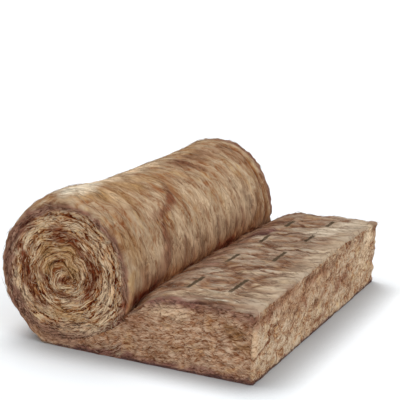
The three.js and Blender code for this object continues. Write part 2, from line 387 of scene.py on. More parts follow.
# FOX paints shade in the crease and between the turns as well as stains; the darkest red is painted deep
# shade in the crease
FOX, CREASE_SHADE_RED, BARK, DUSK = (104, 46, 22), (124, 24, 4), (128, 88, 50), (128, 91, 74)
ROLL_STAINS_AND_PAINTED_LIGHT = [
    (60, 0.49, 50, 0.445, 0.01, RUST_RED, 0.9),
    (50, 0.445, 43, 0.393, 0.015, RUST_RED, 0.85),
    (43, 0.393, 41, 0.316, 0.015, RUST_RED, 0.8),
    (41, 0.316, 40, 0.254, 0.017, RUST_RED, 0.55),
    (28, 0.299, 18, 0.298, 0.018, RUST_RED, 0.95),
    (18, 0.298, 2, 0.255, 0.026, RUST_RED, 1),
    (2, 0.255, -10, 0.2, 0.03, RUST_RED, 0.8),
    (3, 0.537, -8, 0.53, 0.016, BROWN, 0.7),
    (24, 0.95, -6, 1.02, 0.018, BROWN, 0.75),
    (87, 0.79, 74, 0.74, 0.026, UMBER, 0.6),
    (84, 0.72, 66, 0.8, 0.024, BROWN, 0.8),
    (80, 0.1, 68, 0.2, 0.045, OCHRE, 0.55),
    (90, 0.27, 76, 0.34, 0.04, OCHRE, 0.55),
    (88, 0.42, 74, 0.5, 0.026, OCHRE, 0.35),
    (30, 0.05, 10, 0.1, 0.035, OCHRE, 0.4),
    # painted highlight: the pale sheen along the roll's top ridge
    (100, 0.055, 89, 0.11, 0.03, PALE, 0.95),
    (92, 0.13, 96, 0.25, 0.026, PALE, 0.8),
    (106, 0.24, 104, 0.66, 0.034, CREAM, 0.9),
    (28, 0.93, 12, 0.99, 0.045, CREAM, 0.55),
    (41, 0.9, 24, 0.8, 0.04, CREAM, 0.4),
    (82, 0.86, 82, 1.01, 0.034, BROWN, 0.55),
    (73, 1.08, 60, 1.08, 0.034, BROWN, 0.45),
    (70, 0.16, 62, 0.17, 0.024, CREAM, 0.55),
    # painted light on the roll's lower side, which the lamps leave darker
    (8, 0.1, 6, 0.95, 0.045, CREAM, 0.35),
    (2, 0.1, -12, 0.14, 0.03, RUST_RED, 0.75),
    (-2, 0.47, -12, 0.49, 0.014, RUST_RED, 0.6),
    (16, 1.05, -6, 1.08, 0.013, BROWN, 0.7),
    (56, 0.38, 44, 0.24, 0.026, CREAM, 0.3),
    (34, 0.62, 50, 0.58, 0.045, CREAM, 0.45),
    (30, 0.42, 20, 0.4, 0.028, CREAM, 0.4),
    (4, 0.7, 22, 0.66, 0.03, CREAM, 0.35),
    # painted shade in the crease, reddened, and deepest where the crease gapes
    (-13, 0, -13, 1.2, 0.022, RUST_RED, 0.45),
    *[(-17, max(start, 0), -17, end, 0.013, FOX, 0.4 + 0.6 * depth) for start, end, depth in CREASE_GAPS],
    # painted shade in the rear tuck's groove
    *round_roll(-8, 64, 1.128, 0.01, BROWN, 0.6),
    (10, 0.411, -10, 0.4, 0.013, FOX, 0.75),
    (16, 0.69, -12, 0.68, 0.011, FOX, 0.9),
    (4, 0.842, -10, 0.855, 0.009, FOX, 1),
    (7, 0.76, -10, 0.755, 0.009, FOX, 0.9),
    (10, 0.9, -8, 0.91, 0.012, FOX, 0.75),
    (20, 0.3, -2, 0.27, 0.014, FOX, 0.5),
    # painted shade, brownish red, low on the roll above the crease
    (0, 0.35, 0, 1.05, 0.04, (140, 96, 66), 0.35),
    # painted deep shade in the crease
    (-13, 0.67, -13, 0.82, 0.013, CREASE_SHADE_RED, 0.95),
    (-21, 0.048, -18, 0.11, 0.012, CREASE_SHADE_RED, 0.9),
    (-18, 0.11, -14, 0.2, 0.013, CREASE_SHADE_RED, 0.9),
    (-14, 0.4, -14, 0.48, 0.009, CREASE_SHADE_RED, 0.6),
    # painted light beside the crease near the rear end, lifting its shade
    (-14, 1.06, -14, 1.2, 0.018, (186, 154, 122), 0.7),
]
TAIL_STAINS_AND_PAINTED_SHADE = [
    ((0.345, 0.05, 0.215), (0.45, 0.11, 0.217), 0.026, CREAM, 0.6),
    ((0.46, 0.09, 0.217), (0.58, 0.16, 0.217), 0.024, CREAM, 0.35),
    ((0.53, 0.2, 0.218), (0.6, 0.78, 0.225), 0.032, CREAM, 0.22),
    ((0.29, 0.8, 0.19), (0.33, 0.88, 0.21), 0.028, (120, 82, 76), 1),
    ((0.3, 0.3, 0.19), (0.32, 0.4, 0.2), 0.016, PLUM, 0.5),
    # painted shade along the crease and over the shoulder beside it
    ((0.22, 0, 0.13), (0.22, 1.2, 0.15), 0.034, RUST_RED, 0.5),
    ((0.282, 0.33, 0.185), (0.29, 1, 0.19), 0.036, (114, 76, 56), 0.75),
    ((0.252, 0.555, 0.165), (0.258, 0.62, 0.17), 0.014, UMBER, 0.7),
    ((0.399, 0.121, 0.217), (0.467, 0.135, 0.217), 0.012, PALE, 0.6),
    ((0.438, 0.037, 0.217), (0.52, 0.037, 0.217), 0.006, PALE, 0.9),
    ((0.44, 0.346, 0.217), (0.48, 0.355, 0.217), 0.014, CREAM, 0.5),
    ((0.5, 0.9, 0.222), (0.56, 1.1, 0.222), 0.05, PALE, 0.42),
    ((0.6, 1.2, 0.225), (0.61, 1.15, 0.205), 0.018, BROWN, 0.55),
]
FRONT_STAINS_AND_PAINTED_SHADE = [
    (0.27, 0.19, 0.42, 0.207, 0.017, PLUM, 0.85),
    (0.42, 0.204, 0.61, 0.196, 0.015, (122, 84, 70), 0.7),
    (0.05, 0.004, 0.61, 0.008, 0.014, PLUM, 0.8),
    (0.563, 0.142, 0.535, 0.146, 0.018, BARK, 0.7),
    (0.581, 0.101, 0.56, 0.1, 0.011, BARK, 0.7),
    (0.3, 0.17, 0.38, 0.17, 0.018, CREAM, 0.4),
    # the FOX rows paint shade into the gaps between the turns and round the eye
    (-0.04, 0.352, 0.03, 0.338, 0.012, FOX, 0.8),
    (-0.03, 0.33, 0.03, 0.322, 0.014, FOX, 0.85),
    (0.03, 0.318, 0.105, 0.24, 0.012, FOX, 0.75),
    (0.078, 0.3, 0.1, 0.25, 0.01, FOX, 0.8),
    (0.104, 0.235, 0.088, 0.175, 0.016, FOX, 0.85),
    (0.08, 0.17, 0.04, 0.145, 0.01, FOX, 0.6),
    (-0.143, 0.285, -0.128, 0.235, 0.013, FOX, 0.8),
    (-0.13, 0.235, -0.112, 0.17, 0.012, FOX, 0.75),
    (-0.05, 0.17, 0.02, 0.152, 0.009, FOX, 0.7),
    (-0.1, 0.15, -0.05, 0.11, 0.012, FOX, 0.7),
    (-0.075, 0.23, -0.06, 0.19, 0.01, RUST_RED, 0.7),
    (-0.15, 0.33, -0.11, 0.365, 0.012, FOX, 0.6),
    (-0.11, 0.39, -0.06, 0.4, 0.018, PLUM, 0.5),
    (-0.065, 0.285, -0.05, 0.245, 0.026, OCHRE, 0.7),
    (-0.02, 0.1, 0.06, 0.098, 0.016, OCHRE, 0.7),
    (0.005, 0.29, 0.03, 0.24, 0.028, OCHRE, 0.65),
    (0.06, 0.271, 0.066, 0.225, 0.008, CREAM, 0.6),
    (-0.15, 0.18, -0.11, 0.12, 0.013, CREAM, 0.7),
    (-0.01, 0.136, 0.055, 0.14, 0.008, CREAM, 0.85),
    (0, 0.06, 0.1, 0.068, 0.014, CREAM, 0.7),
    (0.15, 0.21, 0.135, 0.11, 0.018, CREAM, 0.6),
    (0.1, 0.33, 0.14, 0.26, 0.012, CREAM, 0.4),
    (-0.01, 0.204, 0.022, 0.21, 0.009, FOX, 0.85),
]
CUT_CORNER_STAINS = [
    (0.04, 0.105, 0.08, 0.135, 0.012, CREAM, 0.25),
    (0.03, 0.05, 0.04, 0.032, 0.008, CREAM, 0.6),
    (0, 0.178, 0.1, 0.185, 0.018, RUST_RED, 0.55),
    (0.1, 0.19, 0.33, 0.2, 0.018, RUST_RED, 0.5),
    (0.11, 0.165, 0.14, 0.11, 0.012, BROWN, 0.5),
]
SIDE_CORNER_STAINS = [
    (0.605, 0.095, 0.602, 0.15, 0.013, (184, 152, 120), 0.5),
    (0.604, 0.02, 0.604, 0.07, 0.01, BROWN, 0.4),
]
CUT_FACE_STAINS_AND_PAINTED_SHADOW = [
    # painted contact shadow along the foot of the cut face
    (0, 0.001, 1.2, 0.001, 0.005, PLUM, 0.9),
    (1.04, 0.1, 1.11, 0.18, 0.04, CREAM, 0.5),
    (0.3, 0.11, 0.42, 0.15, 0.035, RUST_RED, 0.15),
    (0.62, 0.105, 0.84, 0.12, 0.045, RUST_RED, 0.15),
    (0.74, 0.098, 0.86, 0.11, 0.015, RUST_RED, 0.65),
    (0.6, 0.188, 0.74, 0.19, 0.014, BROWN, 0.65),
    (0.42, 0.196, 0.6, 0.192, 0.014, RUST_RED, 0.65),
    (0.4, 0.15, 0.44, 0.112, 0.013, RUST_RED, 0.65),
    (0.2, 0.165, 0.62, 0.16, 0.036, (148, 108, 78), 0.35),
    (0.52, 0.1, 0.6, 0.112, 0.011, BROWN, 0.65),
    (0.54, 0.03, 0.65, 0.04, 0.01, RUST_RED, 0.7),
    (0.33, 0.118, 0.37, 0.124, 0.01, BROWN, 0.55),
    (0.88, 0.06, 0.92, 0.066, 0.009, BROWN, 0.65),
]
REAR_STAINS = [
    (0.27, 0.19, 0.6, 0.212, 0.015, PLUM, 0.7),
    (0.05, 0.004, 0.61, 0.008, 0.014, PLUM, 0.7),
]
STAINS_AND_PAINTED_LIGHT = [
    *stains_and_painted_light_on(on_roll, ROLL_STAINS_AND_PAINTED_LIGHT),
    *TAIL_STAINS_AND_PAINTED_SHADE,
    *stains_and_painted_light_on(on_front, FRONT_STAINS_AND_PAINTED_SHADE),
    *round_end(-8, 172, 0.013, 0, 0.009, DUSK, 0.8),
    *round_end(130, 235, 0.026, 0, 0.02, (132, 96, 80), 0.55),
    *round_end(235, 290, 0.024, 0, 0.024, (146, 110, 90), 0.5),
    *round_end(-8, 172, 0.013, MAT_WIDTH, 0.009, DUSK, 0.8),
    *stains_and_painted_light_on(on_cut_face, CUT_CORNER_STAINS),
    *stains_and_painted_light_on(on_front, SIDE_CORNER_STAINS),
    *stains_and_painted_light_on(on_cut_face, CUT_FACE_STAINS_AND_PAINTED_SHADOW),
    *stains_and_painted_light_on(on_rear, REAR_STAINS),
]

# Printed cutting marks on the tail's top: how far from the roll's axis, its start, its end and its width
MARKS = [
    (0.350, 0.106, 0.237, 0.0125), (0.346, 0.419, 0.535, 0.0125),
    (0.349, 0.708, 0.812, 0.013), (0.349, 0.955, 1.052, 0.014),
    (0.472, 0.133, 0.281, 0.013), (0.473, 0.492, 0.614, 0.013),
    (0.486, 0.764, 0.860, 0.013), (0.482, 1.002, 1.094, 0.014),
]
MARK_INK = (84, 68, 50)

# Folds across the tail's top: how deep each is, from 0 to 1, and the places along it as x and y
FOLDS = [
    (1.0, [(0.342, 0.640), (0.379, 0.663), (0.414, 0.656), (0.435, 0.636), (0.455, 0.637), (0.496, 0.660),
           (0.528, 0.646), (0.555, 0.639), (0.600, 0.667)]),
    (0.6, [(0.345, 0.547), (0.391, 0.567), (0.447, 0.565)]),
    (0.6, [(0.385, 0.383), (0.415, 0.416), (0.447, 0.425), (0.491, 0.437)]),
    (0.7, [(0.484, 0.385), (0.523, 0.375), (0.567, 0.395)]),
    (0.8, [(0.363, 0.833), (0.391, 0.837), (0.417, 0.887), (0.453, 0.867), (0.475, 0.897)]),
    (0.5, [(0.383, 0.740), (0.421, 0.754), (0.450, 0.772)]),
    (0.5, [(0.505, 0.217), (0.531, 0.250), (0.566, 0.276)]),
    (0.5, [(0.495, 0.554), (0.545, 0.569), (0.590, 0.563)]),
    (0.5, [(0.336, 0.238), (0.358, 0.304), (0.386, 0.334), (0.428, 0.346)]),
    (0.5, [(0.361, 1.049), (0.413, 0.986)]),
    (0.7, [(0.389, 0.137), (0.427, 0.162)]),
    (0.4, [(0.240, 0.524), (0.280, 0.597), (0.317, 0.620)]),
    (0.5, [(0.530, 0.800), (0.570, 0.830), (0.600, 0.825)]),
    (0.5, [(0.540, 0.960), (0.570, 0.985), (0.600, 0.990)]),
]
FOLD_REACH = 0.030
FOLD_DIP, DIP_REACH = 0.009, 0.007
BANK_RISE, BANK_OFF, BANK_REACH = 0.006, 0.016, 0.012  # the raised bank beyond each fold

# The torn edge of a loose flap on the cut face, as the y and the height of places along it
FLAP_EDGE = [
    (-0.010, 0.084), (0.005, 0.082), (0.058, 0.095), (0.104, 0.110), (0.110, 0.135), (0.122, 0.153),
    (0.172, 0.142),
]
FLAP_WIDTH, FLAP_RISE = 0.060, 0.004

PATCH_WANDER = 0.016  # how far the edges of the stains and of the painted light and shade stray from a plain round
PATCH_CORE, PATCH_EDGE = 0.35, 1.7  # where each patch starts to fade and where it ends, as shares of its reach


def beyond_lines(places, lines, seed):
    """How far each place in a plane lies beyond the nearest of some lines, and how strong that line is."""
    places = places + columns(0, 0.006 * layered_noise(columns(*places.T, 0), 0.03, 3, seed))
    beyond, strength = np.full(len(places), 1.0), np.zeros(len(places))
    for depth, line in lines:
        for start, end in zip(line, line[1:]):
            away = segment_distance(places, start, end)
            (run_x, run_y), (off_x, off_y) = np.subtract(end, start), (places - start).T
            nearer = away < np.abs(beyond)
            beyond = np.where(nearer, np.where(run_x * off_y > run_y * off_x, away, -away), beyond)
            strength = np.where(nearer, depth, strength)
    return beyond, strength


def fold_places(x, y):
    """Each place's distance beyond the nearest fold, and how strong that fold still is there."""
    beyond, strength = beyond_lines(columns(x, y), FOLDS, 81)
    strength *= np.clip(0.75 + 0.8 * layered_noise(columns(x, y, 0), 0.05, 2, 82), 0.1, 1.15)
    strength *= smoothstep(TAIL_LENGTH - x, 0.004, 0.030)
    return beyond, strength * near(beyond, FOLD_REACH)


def fold_relief(x, y):
    """Height of the folds at each place on the tail's top: a sharp dip with a raised bank beyond it."""
    beyond, strength = fold_places(x, y)
    return strength * (BANK_RISE * near(beyond - BANK_OFF, BANK_REACH) - FOLD_DIP * near(beyond, DIP_REACH))


def flap_places(y, height):
    """Each place's distance inside the flap's torn edge, and 1 at the edge fading to 0 away from it."""
    inside, _ = beyond_lines(columns(y, height), [(1.0, FLAP_EDGE)], 87)
    ends = 1 - smoothstep(height, 0.155, 0.185)
    return inside, ends * near(inside, FLAP_WIDTH)


def torn_flap(y, height):
    """How far the flap stands out of the cut face: it rises to its torn edge and drops off sharply."""
    inside, strength = flap_places(y, height)
    return FLAP_RISE * strength * smoothstep(inside, -0.003, 0.003)


def clear_of_marks(x, y):
    """0 beside the printed marks and 1 away from them."""
    away = np.full(len(x), 1.0)
    for across, start, end, _ in MARKS:
        away = np.minimum(away, segment_distance(columns(x, y), (across, start), (across, end)))
    return smoothstep(away, 0.006, 0.026)


def stains_and_painted_light_at(places):
    """Colour and strength of the stains and the painted light and shade at each place, in four parts."""
    wander = columns(*(layered_noise(places, 0.06, 3, seed) for seed in (91, 94, 97)))
    places = places + PATCH_WANDER * wander
    colour, strength = np.zeros((len(places), 3)), np.zeros(len(places))
    for start, end, reach, shade, most in STAINS_AND_PAINTED_LIGHT:
        away = segment_distance(places, start, end) / reach
        share = most * (1 - smoothstep(away, PATCH_CORE, PATCH_EDGE))
        weight = share / np.maximum(share + strength, 1e-6)
        colour += (np.array(paint(*shade)[:3]) - colour) * weight[:, None]
        strength = 1 - (1 - strength) * (1 - share)
    return columns(*colour.T, strength)


# ---------------------------------------------------------------- relief of the skin and the ends

EYE, EYE_REACH = (0.014, 0.212), 0.011  # the hole in the middle of the turns, as x and height
TUCK_FROM = 0.05  # the rear tuck shows only where x is more than this
LINE_REACH, GROOVE_REACH = 0.0036, 0.009  # half the width of the painted shade along the line between turns, and of its groove
TURN_LAYER, SIDE_LAYER = 0.0075, 0.011  # thickness of the thin layers within a turn, and in the tail's sides


def skin_relief(kind, along, y, place):
    """How far one kind of surface stands out of the smooth shape, and the part of it that makes hollows."""
    lay = columns(along, y, 0)
    lumps = 0.003 * layered_noise(place, (0.16, 0.2, 0.16), 2, 11)
    tufts = 0.0014 * layered_noise(place, 0.016, 2, 17)
    wander = columns(
        0.030 * layered_noise(lay, (0.13, 0.09, 1), 2, 19),
        0.018 * layered_noise(lay, (0.13, 0.07, 1), 2, 20),
        0,
    )
    if kind == "roll_skin":
        lay = lay + wander + columns(0, along * 0.1, 0)
        strokes = 0.0030 * layered_noise(lay, (0.15, 0.026, 1), 3, 21)
        gashes = 0.005 * valleys(lay, (0.16, 0.045, 1), 2, 27, 0.10)
        from_rear = MAT_WIDTH - y + 0.012 * layered_noise(place, 0.12, 2, 29)
        gashes -= 0.007 * near(from_rear - REAR_TUCK, 0.010) * (place[:, 0] > TUCK_FROM)
        return lumps + tufts + strokes + gashes, strokes + gashes + 0.5 * tufts
    if kind == "tail_skin":
        lay = lay + wander + columns(0, along * 0.25, 0)
        pillows = 0.010 * valleys(lay, (0.22, 0.085, 1), 2, 35, 0.30)
        strokes = 0.0020 * layered_noise(lay, (0.12, 0.026, 1), 3, 39)
        clear = clear_of_marks(place[:, 0], y)
        folds = fold_relief(place[:, 0], y) * clear
        calm = 0.25 + 0.75 * smoothstep(TAIL_LENGTH - place[:, 0], 0.0, 0.07)
        rough = (pillows + strokes) * calm * (0.2 + 0.8 * clear)
        return lumps + tufts * calm + rough + folds, 0.9 * rough + folds
    if kind == "cut_face":
        slanted = columns(y + 0.5 * along, along, 0) + wander * 0.5
        clots = 0.0050 * layered_noise(slanted, (0.065, 0.034, 1), 3, 41)
        tears = 0.007 * valleys(slanted, (0.090, 0.045, 1), 2, 47, 0.14)
        return lumps + tufts + clots + tears + torn_flap(y, place[:, 2]), clots + tears
    return 0 * lumps, 0 * lumps


def wander_over_end(x, z, y):
    """Places on an end face moved about, most near the eye, so that the turns are crumpled and uneven."""
    places = columns(x, z, y)
    out = np.hypot(x, z - AXIS_HEIGHT)
    turns_reach = 0.009 * (1 - 0.8 * smoothstep(out, ROLL_RADIUS * 0.75, ROLL_RADIUS))
    reach = turns_reach + 0.014 * near(out, 0.07)
    x_off, z_off = (reach * layered_noise(places, 0.085, 2, seed) for seed in (51, 55))
    return x + x_off, z + z_off


def turn_line(found):
    """How close each place on an end is to the line between two turns, which opens and closes: 0 to 1."""
    deep, turn = found["deep"], found["wound"].turn
    to_inner = np.abs(1 - deep)
    to_line = np.where(turn > 0, np.minimum(np.abs(deep), to_inner), to_inner) * found["thickness"]
    open_here = 0.45 + 1.3 * layered_noise(columns(found["along"], turn, 0), (0.06, 1, 1), 2, 61)
    return np.where(found["flat"], 0, near(to_line, LINE_REACH) * np.clip(open_here, 0, 1))


def end_relief(x, z, y):
    """How far an end face stands out, in metres, and how much painted shade darkens its hollows, from 0 to
    1.
    """
    found = end_face_places(*wander_over_end(x, z, y), y)
    flat, thick, deep, turn = found["flat"], found["thickness"], found["deep"], found["wound"].turn
    lay = columns(found["along"], deep * thick, turn * 5.1 + y)
    lay[:, 1] += 0.003 * layered_noise(lay, (0.035, 0.02, 1), 2, 59)

    # The line between two turns opens and closes along its length
    opened = np.clip(0.45 + 0.9 * layered_noise(lay, (0.07, 1, 1), 2, 61), 0.1, 1.2)
    to_line = np.where(turn > 0, np.minimum(deep, 1 - deep), 1 - deep) * thick
    groove = np.where(flat, 0, np.clip(1 - to_line / GROOVE_REACH, 0, 1) ** 1.5) * opened

    # Within a turn the mat splits into thin layers, and some of them stand out of the end
    layer = np.where(flat, SIDE_LAYER, TURN_LAYER)
    count = lay[:, 1] / layer + 0.9 * layered_noise(lay, (0.05, 0.02, 1), 2, 63)
    step = (count - np.floor(count)) * (0.35 + 0.5 * layered_noise(lay, (0.04, 0.02, 1), 2, 67))
    stretched = columns(lay[:, 0] / np.where(flat, 0.045, 0.05), lay[:, 1] / (1.3 * layer), lay[:, 2])
    splits = -valleys(stretched, 1, 2, 65, 0.26)
    shreds = layered_noise(lay, (0.022, 0.006, 1), 2, 71)
    lumps = layered_noise(columns(x, z, y), 0.05, 2, 75)
    eye = near(np.hypot(x - EYE[0], z - EYE[1]), EYE_REACH)
    relief = (
        -0.010 * groove - 0.0055 * splits - 0.0035 * step + 0.0022 * shreds + 0.004 * lumps - 0.016 * eye
    )
    # Painted shade in the grooves, splits, steps and the eye
    hollow_shade = np.clip(groove * 0.8 + splits * 0.75 + 0.5 * step + eye - 0.35 * shreds, 0, 1)
    return relief, hollow_shade


# ---------------------------------------------------------------- an end face of the skin

RIM_SHARE = 0.3  # how much of the end's relief its rim takes, where it meets the skin between the ends
ROW_SPACING, STRAY, OFF_RIM = 0.866, 0.22, 0.75  # of the places inside an end, as shares of their step
RING_MOVES_OUT = (2.3, 3.4)  # angles wound over which the dusky ring moves from the line out to the rim

# One end: its places and their numbers in the skin, its triangles, and which of them lie on flat layers
End = namedtuple("End", "y at number triangles flat lay zone")


def end_points(outline, step, seed):
    """Places spread evenly over an end face, inside its outline."""
    low, high = outline.min(0), outline.max(0)
    across, heights = np.arange(low[0], high[0], step), np.arange(low[1], high[1], step * ROW_SPACING)
    places = np.concatenate([columns(across + row % 2 * step / 2, z) for row, z in enumerate(heights)])
    places += np.random.default_rng(seed).uniform(-STRAY, STRAY, places.shape) * step
    inside = np.zeros(len(places), bool)
    nearest = np.full(len(places), np.inf)
    for (ax, az), (bx, bz) in zip(outline, np.roll(outline, -1, 0)):
        crosses = (az > places[:, 1]) != (bz > places[:, 1])
        if crosses.any():
            inside ^= crosses & (places[:, 0] < ax + (places[:, 1] - az) * (bx - ax) / (bz - az))
        nearest = np.minimum(nearest, (places[:, 0] - ax) ** 2 + (places[:, 1] - az) ** 2)
    return places[inside & (nearest > (OFF_RIM * step) ** 2)]


def end_triangles(outline, inner):
    """Triangles over an end face, numbered from the outline's places on to the inner ones."""
    rim = [(i, (i + 1) % len(outline)) for i in range(len(outline))]
    places = [Vector(place) for place in np.concatenate([outline, inner])]
    _, _, faces, came_from, _, _ = delaunay_2d_cdt(places, rim, [], 1, 1e-9)
    return np.array([[came_from[place][0] for place in face] for face in faces])


def end_zone(found):
    """The dusky ring, its two borders and the line between the turns, each from 0 to 1."""
    wound = found["wound"]
    line_drop = TURN_PITCH * wound.wound / FULL_TURN * (1 - smoothstep(wound.wound, *RING_MOVES_OUT))
    wobble = layered_noise(columns(found["along"], 0, wound.turn), (0.03, 1, 1), 2, 89)
    inside = wound.below_rim - line_drop + 0.004 * wobble
    ring = 1 - smoothstep(inside, RING_WIDTH - 0.006, RING_WIDTH + 0.003)
    border = near(inside - RING_WIDTH, 0.0035) + near(inside, 0.003)
    return columns(ring * ~found["flat"], border * ~found["flat"], turn_line(found))


def build_end(outline, y, rim_start, inner_start, step, seed):
    """An end face: its places, their numbers in the skin, its triangles and what their corners carry."""
    inner = end_points(outline, step, seed)
    at = np.concatenate([outline, inner])
    number = np.concatenate([rim_start + np.arange(len(outline)), inner_start + np.arange(len(inner))])
    tri = end_triangles(outline, inner)
    turned = np.cross(at[tri[:, 1]] - at[tri[:, 0]], at[tri[:, 2]] - at[tri[:, 0]]) > 0
    flip = turned if y else ~turned
    tri[flip] = tri[flip][:, ::-1]
    moved = columns(*wander_over_end(at[:, 0], at[:, 1], y))
    middle = end_face_places(*moved[tri].mean(1).T, y)
    lay, zone = [], []
    for corner in range(3):
        found = end_face_places(*moved[tri[:, corner]].T, y, middle)
        depth, turn = found["deep"] * found["thickness"], found["wound"].turn
        lay.append(columns(found["along"], depth, turn * 3.7 + y))
        zone.append(end_zone(found))
    return End(y, at, number, number[tri], middle["flat"], np.stack(lay, 1), np.stack(zone, 1))


# ---------------------------------------------------------------- the skin between the ends

# ys holds the sections' distances from the front end, and rows the places round each of them. The rest
# is alike in all the sections: the finish, the place along the mat, the last stretch's length and so on
Sections = namedtuple("Sections", "ys rows kinds along lengths from_crease")
PALE_STRIP, REAR_RIM = (0.015, 0.10), (0.020, 0.046)  # distances from the edge over which each fades out


def of_kind(kinds, name):
    return kinds == FINISHES.index(name)


def mat_sections():
    """The mat's sections from the front end to the rear one, and the kind and mat place of each place."""
    ys = station_places()
    outlines = [outline_at(y) for y in ys]
    rows = np.array([np.concatenate(list(outline.values())) for outline in outlines])
    kinds = np.concatenate([
        np.full(len(part), FINISHES.index(name)) for name, part in outlines[0].items()
    ])
    middle = rows[len(rows) // 2]
    lengths = np.linalg.norm(np.diff(middle, axis=0, prepend=middle[-1:]), axis=1)
    along = np.cumsum(lengths)
    crease = np.flatnonzero(of_kind(kinds, "roll_skin"))[0] - 1
    return Sections(ys, rows, kinds, along, lengths, np.abs(along - along[crease]))


def skin_faces(mat, places):
    """Four-sided faces between the sections, their kinds, and the mat place and zone of their corners."""
    count = len(mat.kinds)
    i, j = (index.ravel() for index in np.indices((len(mat.ys) - 1, count)))
    before = (j - 1) % count
    corners = ((i, before), (i + 1, before), (i + 1, j), (i, j))
    faces = np.stack([a * count + b for a, b in corners], 1)
    kinds = mat.kinds[j]
    along = np.stack([mat.along[j] - back * mat.lengths[j] for back in (1, 1, 0, 0)], 1)
    y = np.stack([mat.ys[a] for a, _ in corners], 1)
    x = np.stack([mat.rows[a, b, 0] for a, b in corners], 1)

    # The zones: the tail's pale strip or the roll's dusky rim, and how near the crease is
    soft = (1 - smoothstep(TAIL_LENGTH - x, *PALE_STRIP)) * of_kind(kinds, "tail_skin")[:, None]
    wobble = 0.008 * layered_noise(places[faces.ravel()], 0.04, 2, 33).reshape(faces.shape)
    clear_of_front = smoothstep(y + 0.2 * wobble, -0.001, 0.003)
    clear_of_rear = smoothstep(MAT_WIDTH - y + wobble, *REAR_RIM)
    rim = (1 - clear_of_front * clear_of_rear) * of_kind(kinds, "roll_skin")[:, None]
    crease = np.stack([near(mat.from_crease, 0.060)[b] for _, b in corners], 1)
    return faces, kinds, columns(along, y, 0), columns(soft + rim, crease, 0)


def draw_in_crease(grid, mat, gap):
    """Draws the crease in, most where it gapes, and puts tufts beside it."""
    grid *= smoothstep(mat.from_crease, 0.0, 0.03)
    grid -= (0.003 + 0.008 * gap) * near(mat.from_crease, 0.006)
    beside = near(mat.from_crease - 0.012, 0.010)
    for name, seed in (("roll_skin", 98), ("tail_skin", 99)):
        tufty = layered_noise(columns(mat.ys, 0, 0), (0.05, 1, 1), 3, seed)[:, None]
        grid += 0.007 * beside * tufty * of_kind(mat.kinds, name)


def fray_rims(grid, mat, places):
    """Frays both rims and the tail's upper corner, and draws the front rim up to a point."""
    ys, on_roll_skin = mat.ys, of_kind(mat.kinds, "roll_skin")
    ragged = layered_noise(places, (0.022, 0.03, 0.022), 2, 83).reshape(grid.shape)
    ragged_here = layered_noise(places, 0.12, 2, 95).reshape(grid.shape)
    grid += 0.004 * ragged * near(np.minimum(ys, MAT_WIDTH - ys), 0.014)[:, None]
    on_rear_rim = near(MAT_WIDTH - ys, 0.026)[:, None] * on_roll_skin
    grid += 0.0045 * ragged * on_rear_rim * (0.6 + 0.8 * ragged_here)
    corner = np.flatnonzero(of_kind(mat.kinds, "tail_skin"))[2]
    from_corner = np.abs(mat.along - mat.along[corner])
    torn = 0.0045 * layered_noise(places, (0.05, 0.045, 0.05), 3, 85).reshape(grid.shape)
    grid += (torn + 0.001) * near(from_corner, 0.016)
    grid += 0.005 * (near(MAT_WIDTH - ys, 0.03)[:, None] * near(from_corner, 0.014))
    x, z = mat.rows[len(mat.rows) // 2].T
    above = np.arctan2(z - AXIS_HEIGHT, x)
    peak = 0.010 * hump(above, math.radians(97), math.radians(9)) * (z > AXIS_HEIGHT)
    grid += peak * near(ys, 0.03)[:, None]


def level_underside(grid, mat):
    """Keeps the underside flat, and lets the foot of the cut face wander in and out."""
    underside = of_kind(mat.kinds, "underside")
    grid[:, underside] = 0
    foot = 0.003 * layered_noise(columns(mat.ys, 0, 0), (0.12, 1, 1), 3, 93)
    foot *= smoothstep(np.minimum(mat.ys, MAT_WIDTH - mat.ys), 0.0, 0.03)
    for further, share in enumerate((1.0, 0.7, 0.4)):
        grid[:, np.flatnonzero(underside)[-1] + further] += share * foot


def relief_between_ends(mat, places):
    """How far the skin stands out between the ends, and how much painted shade darkens its hollows, place by
    place.
    """
    shape = len(mat.ys), len(mat.kinds)
    ys = mat.ys[:, None]
    kinds, along, y = (np.broadcast_to(part, shape).ravel() for part in (mat.kinds, mat.along, ys))
    relief, cavity = np.zeros(len(places)), np.zeros(len(places))
    for index, kind in enumerate(FINISHES[:4]):
        chosen = kinds == index
        relief[chosen], cavity[chosen] = skin_relief(kind, along[chosen], y[chosen], places[chosen])
    grid = relief.reshape(shape)
    for _ in range(2):
        grid = (np.roll(grid, 1, 1) + 2 * grid + np.roll(grid, -1, 1)) / 4
    gap = crease_gap(mat.ys)[:, None]
    draw_in_crease(grid, mat, gap)
    fray_rims(grid, mat, places)
    level_underside(grid, mat)
    # Painted shade in the crease, most where it gapes
    in_gap = (0.3 + 0.7 * gap) * near(mat.from_crease, 0.009)
    return grid.ravel(), np.maximum(np.clip(-cavity / 0.005, 0, 1), in_gap.ravel())


# ---------------------------------------------------------------- the skin as one closed mesh

def flow_over(count, rows, ends):
    """The way the fibres lie at each place: along the mat, which is round the roll and across the tail."""
    flow = np.zeros((count, 3))
    flow[:rows[..., 0].size, ::2] = (np.roll(rows, -1, 1) - np.roll(rows, 1, 1)).reshape(-1, 2)
    for end in ends:
        x, z = end.at[rows.shape[1]:].T
        heading = columns(-(z - AXIS_HEIGHT), 0, x)
        heading /= np.maximum(np.linalg.norm(heading, axis=1), 1e-6)[:, None]
        heading[end_face_places(x, z, end.y)["flat"]] = (1, 0, 0)
        flow[end.number[rows.shape[1]:]] = heading
    return flow / np.maximum(np.linalg.norm(flow, axis=1), 1e-6)[:, None]


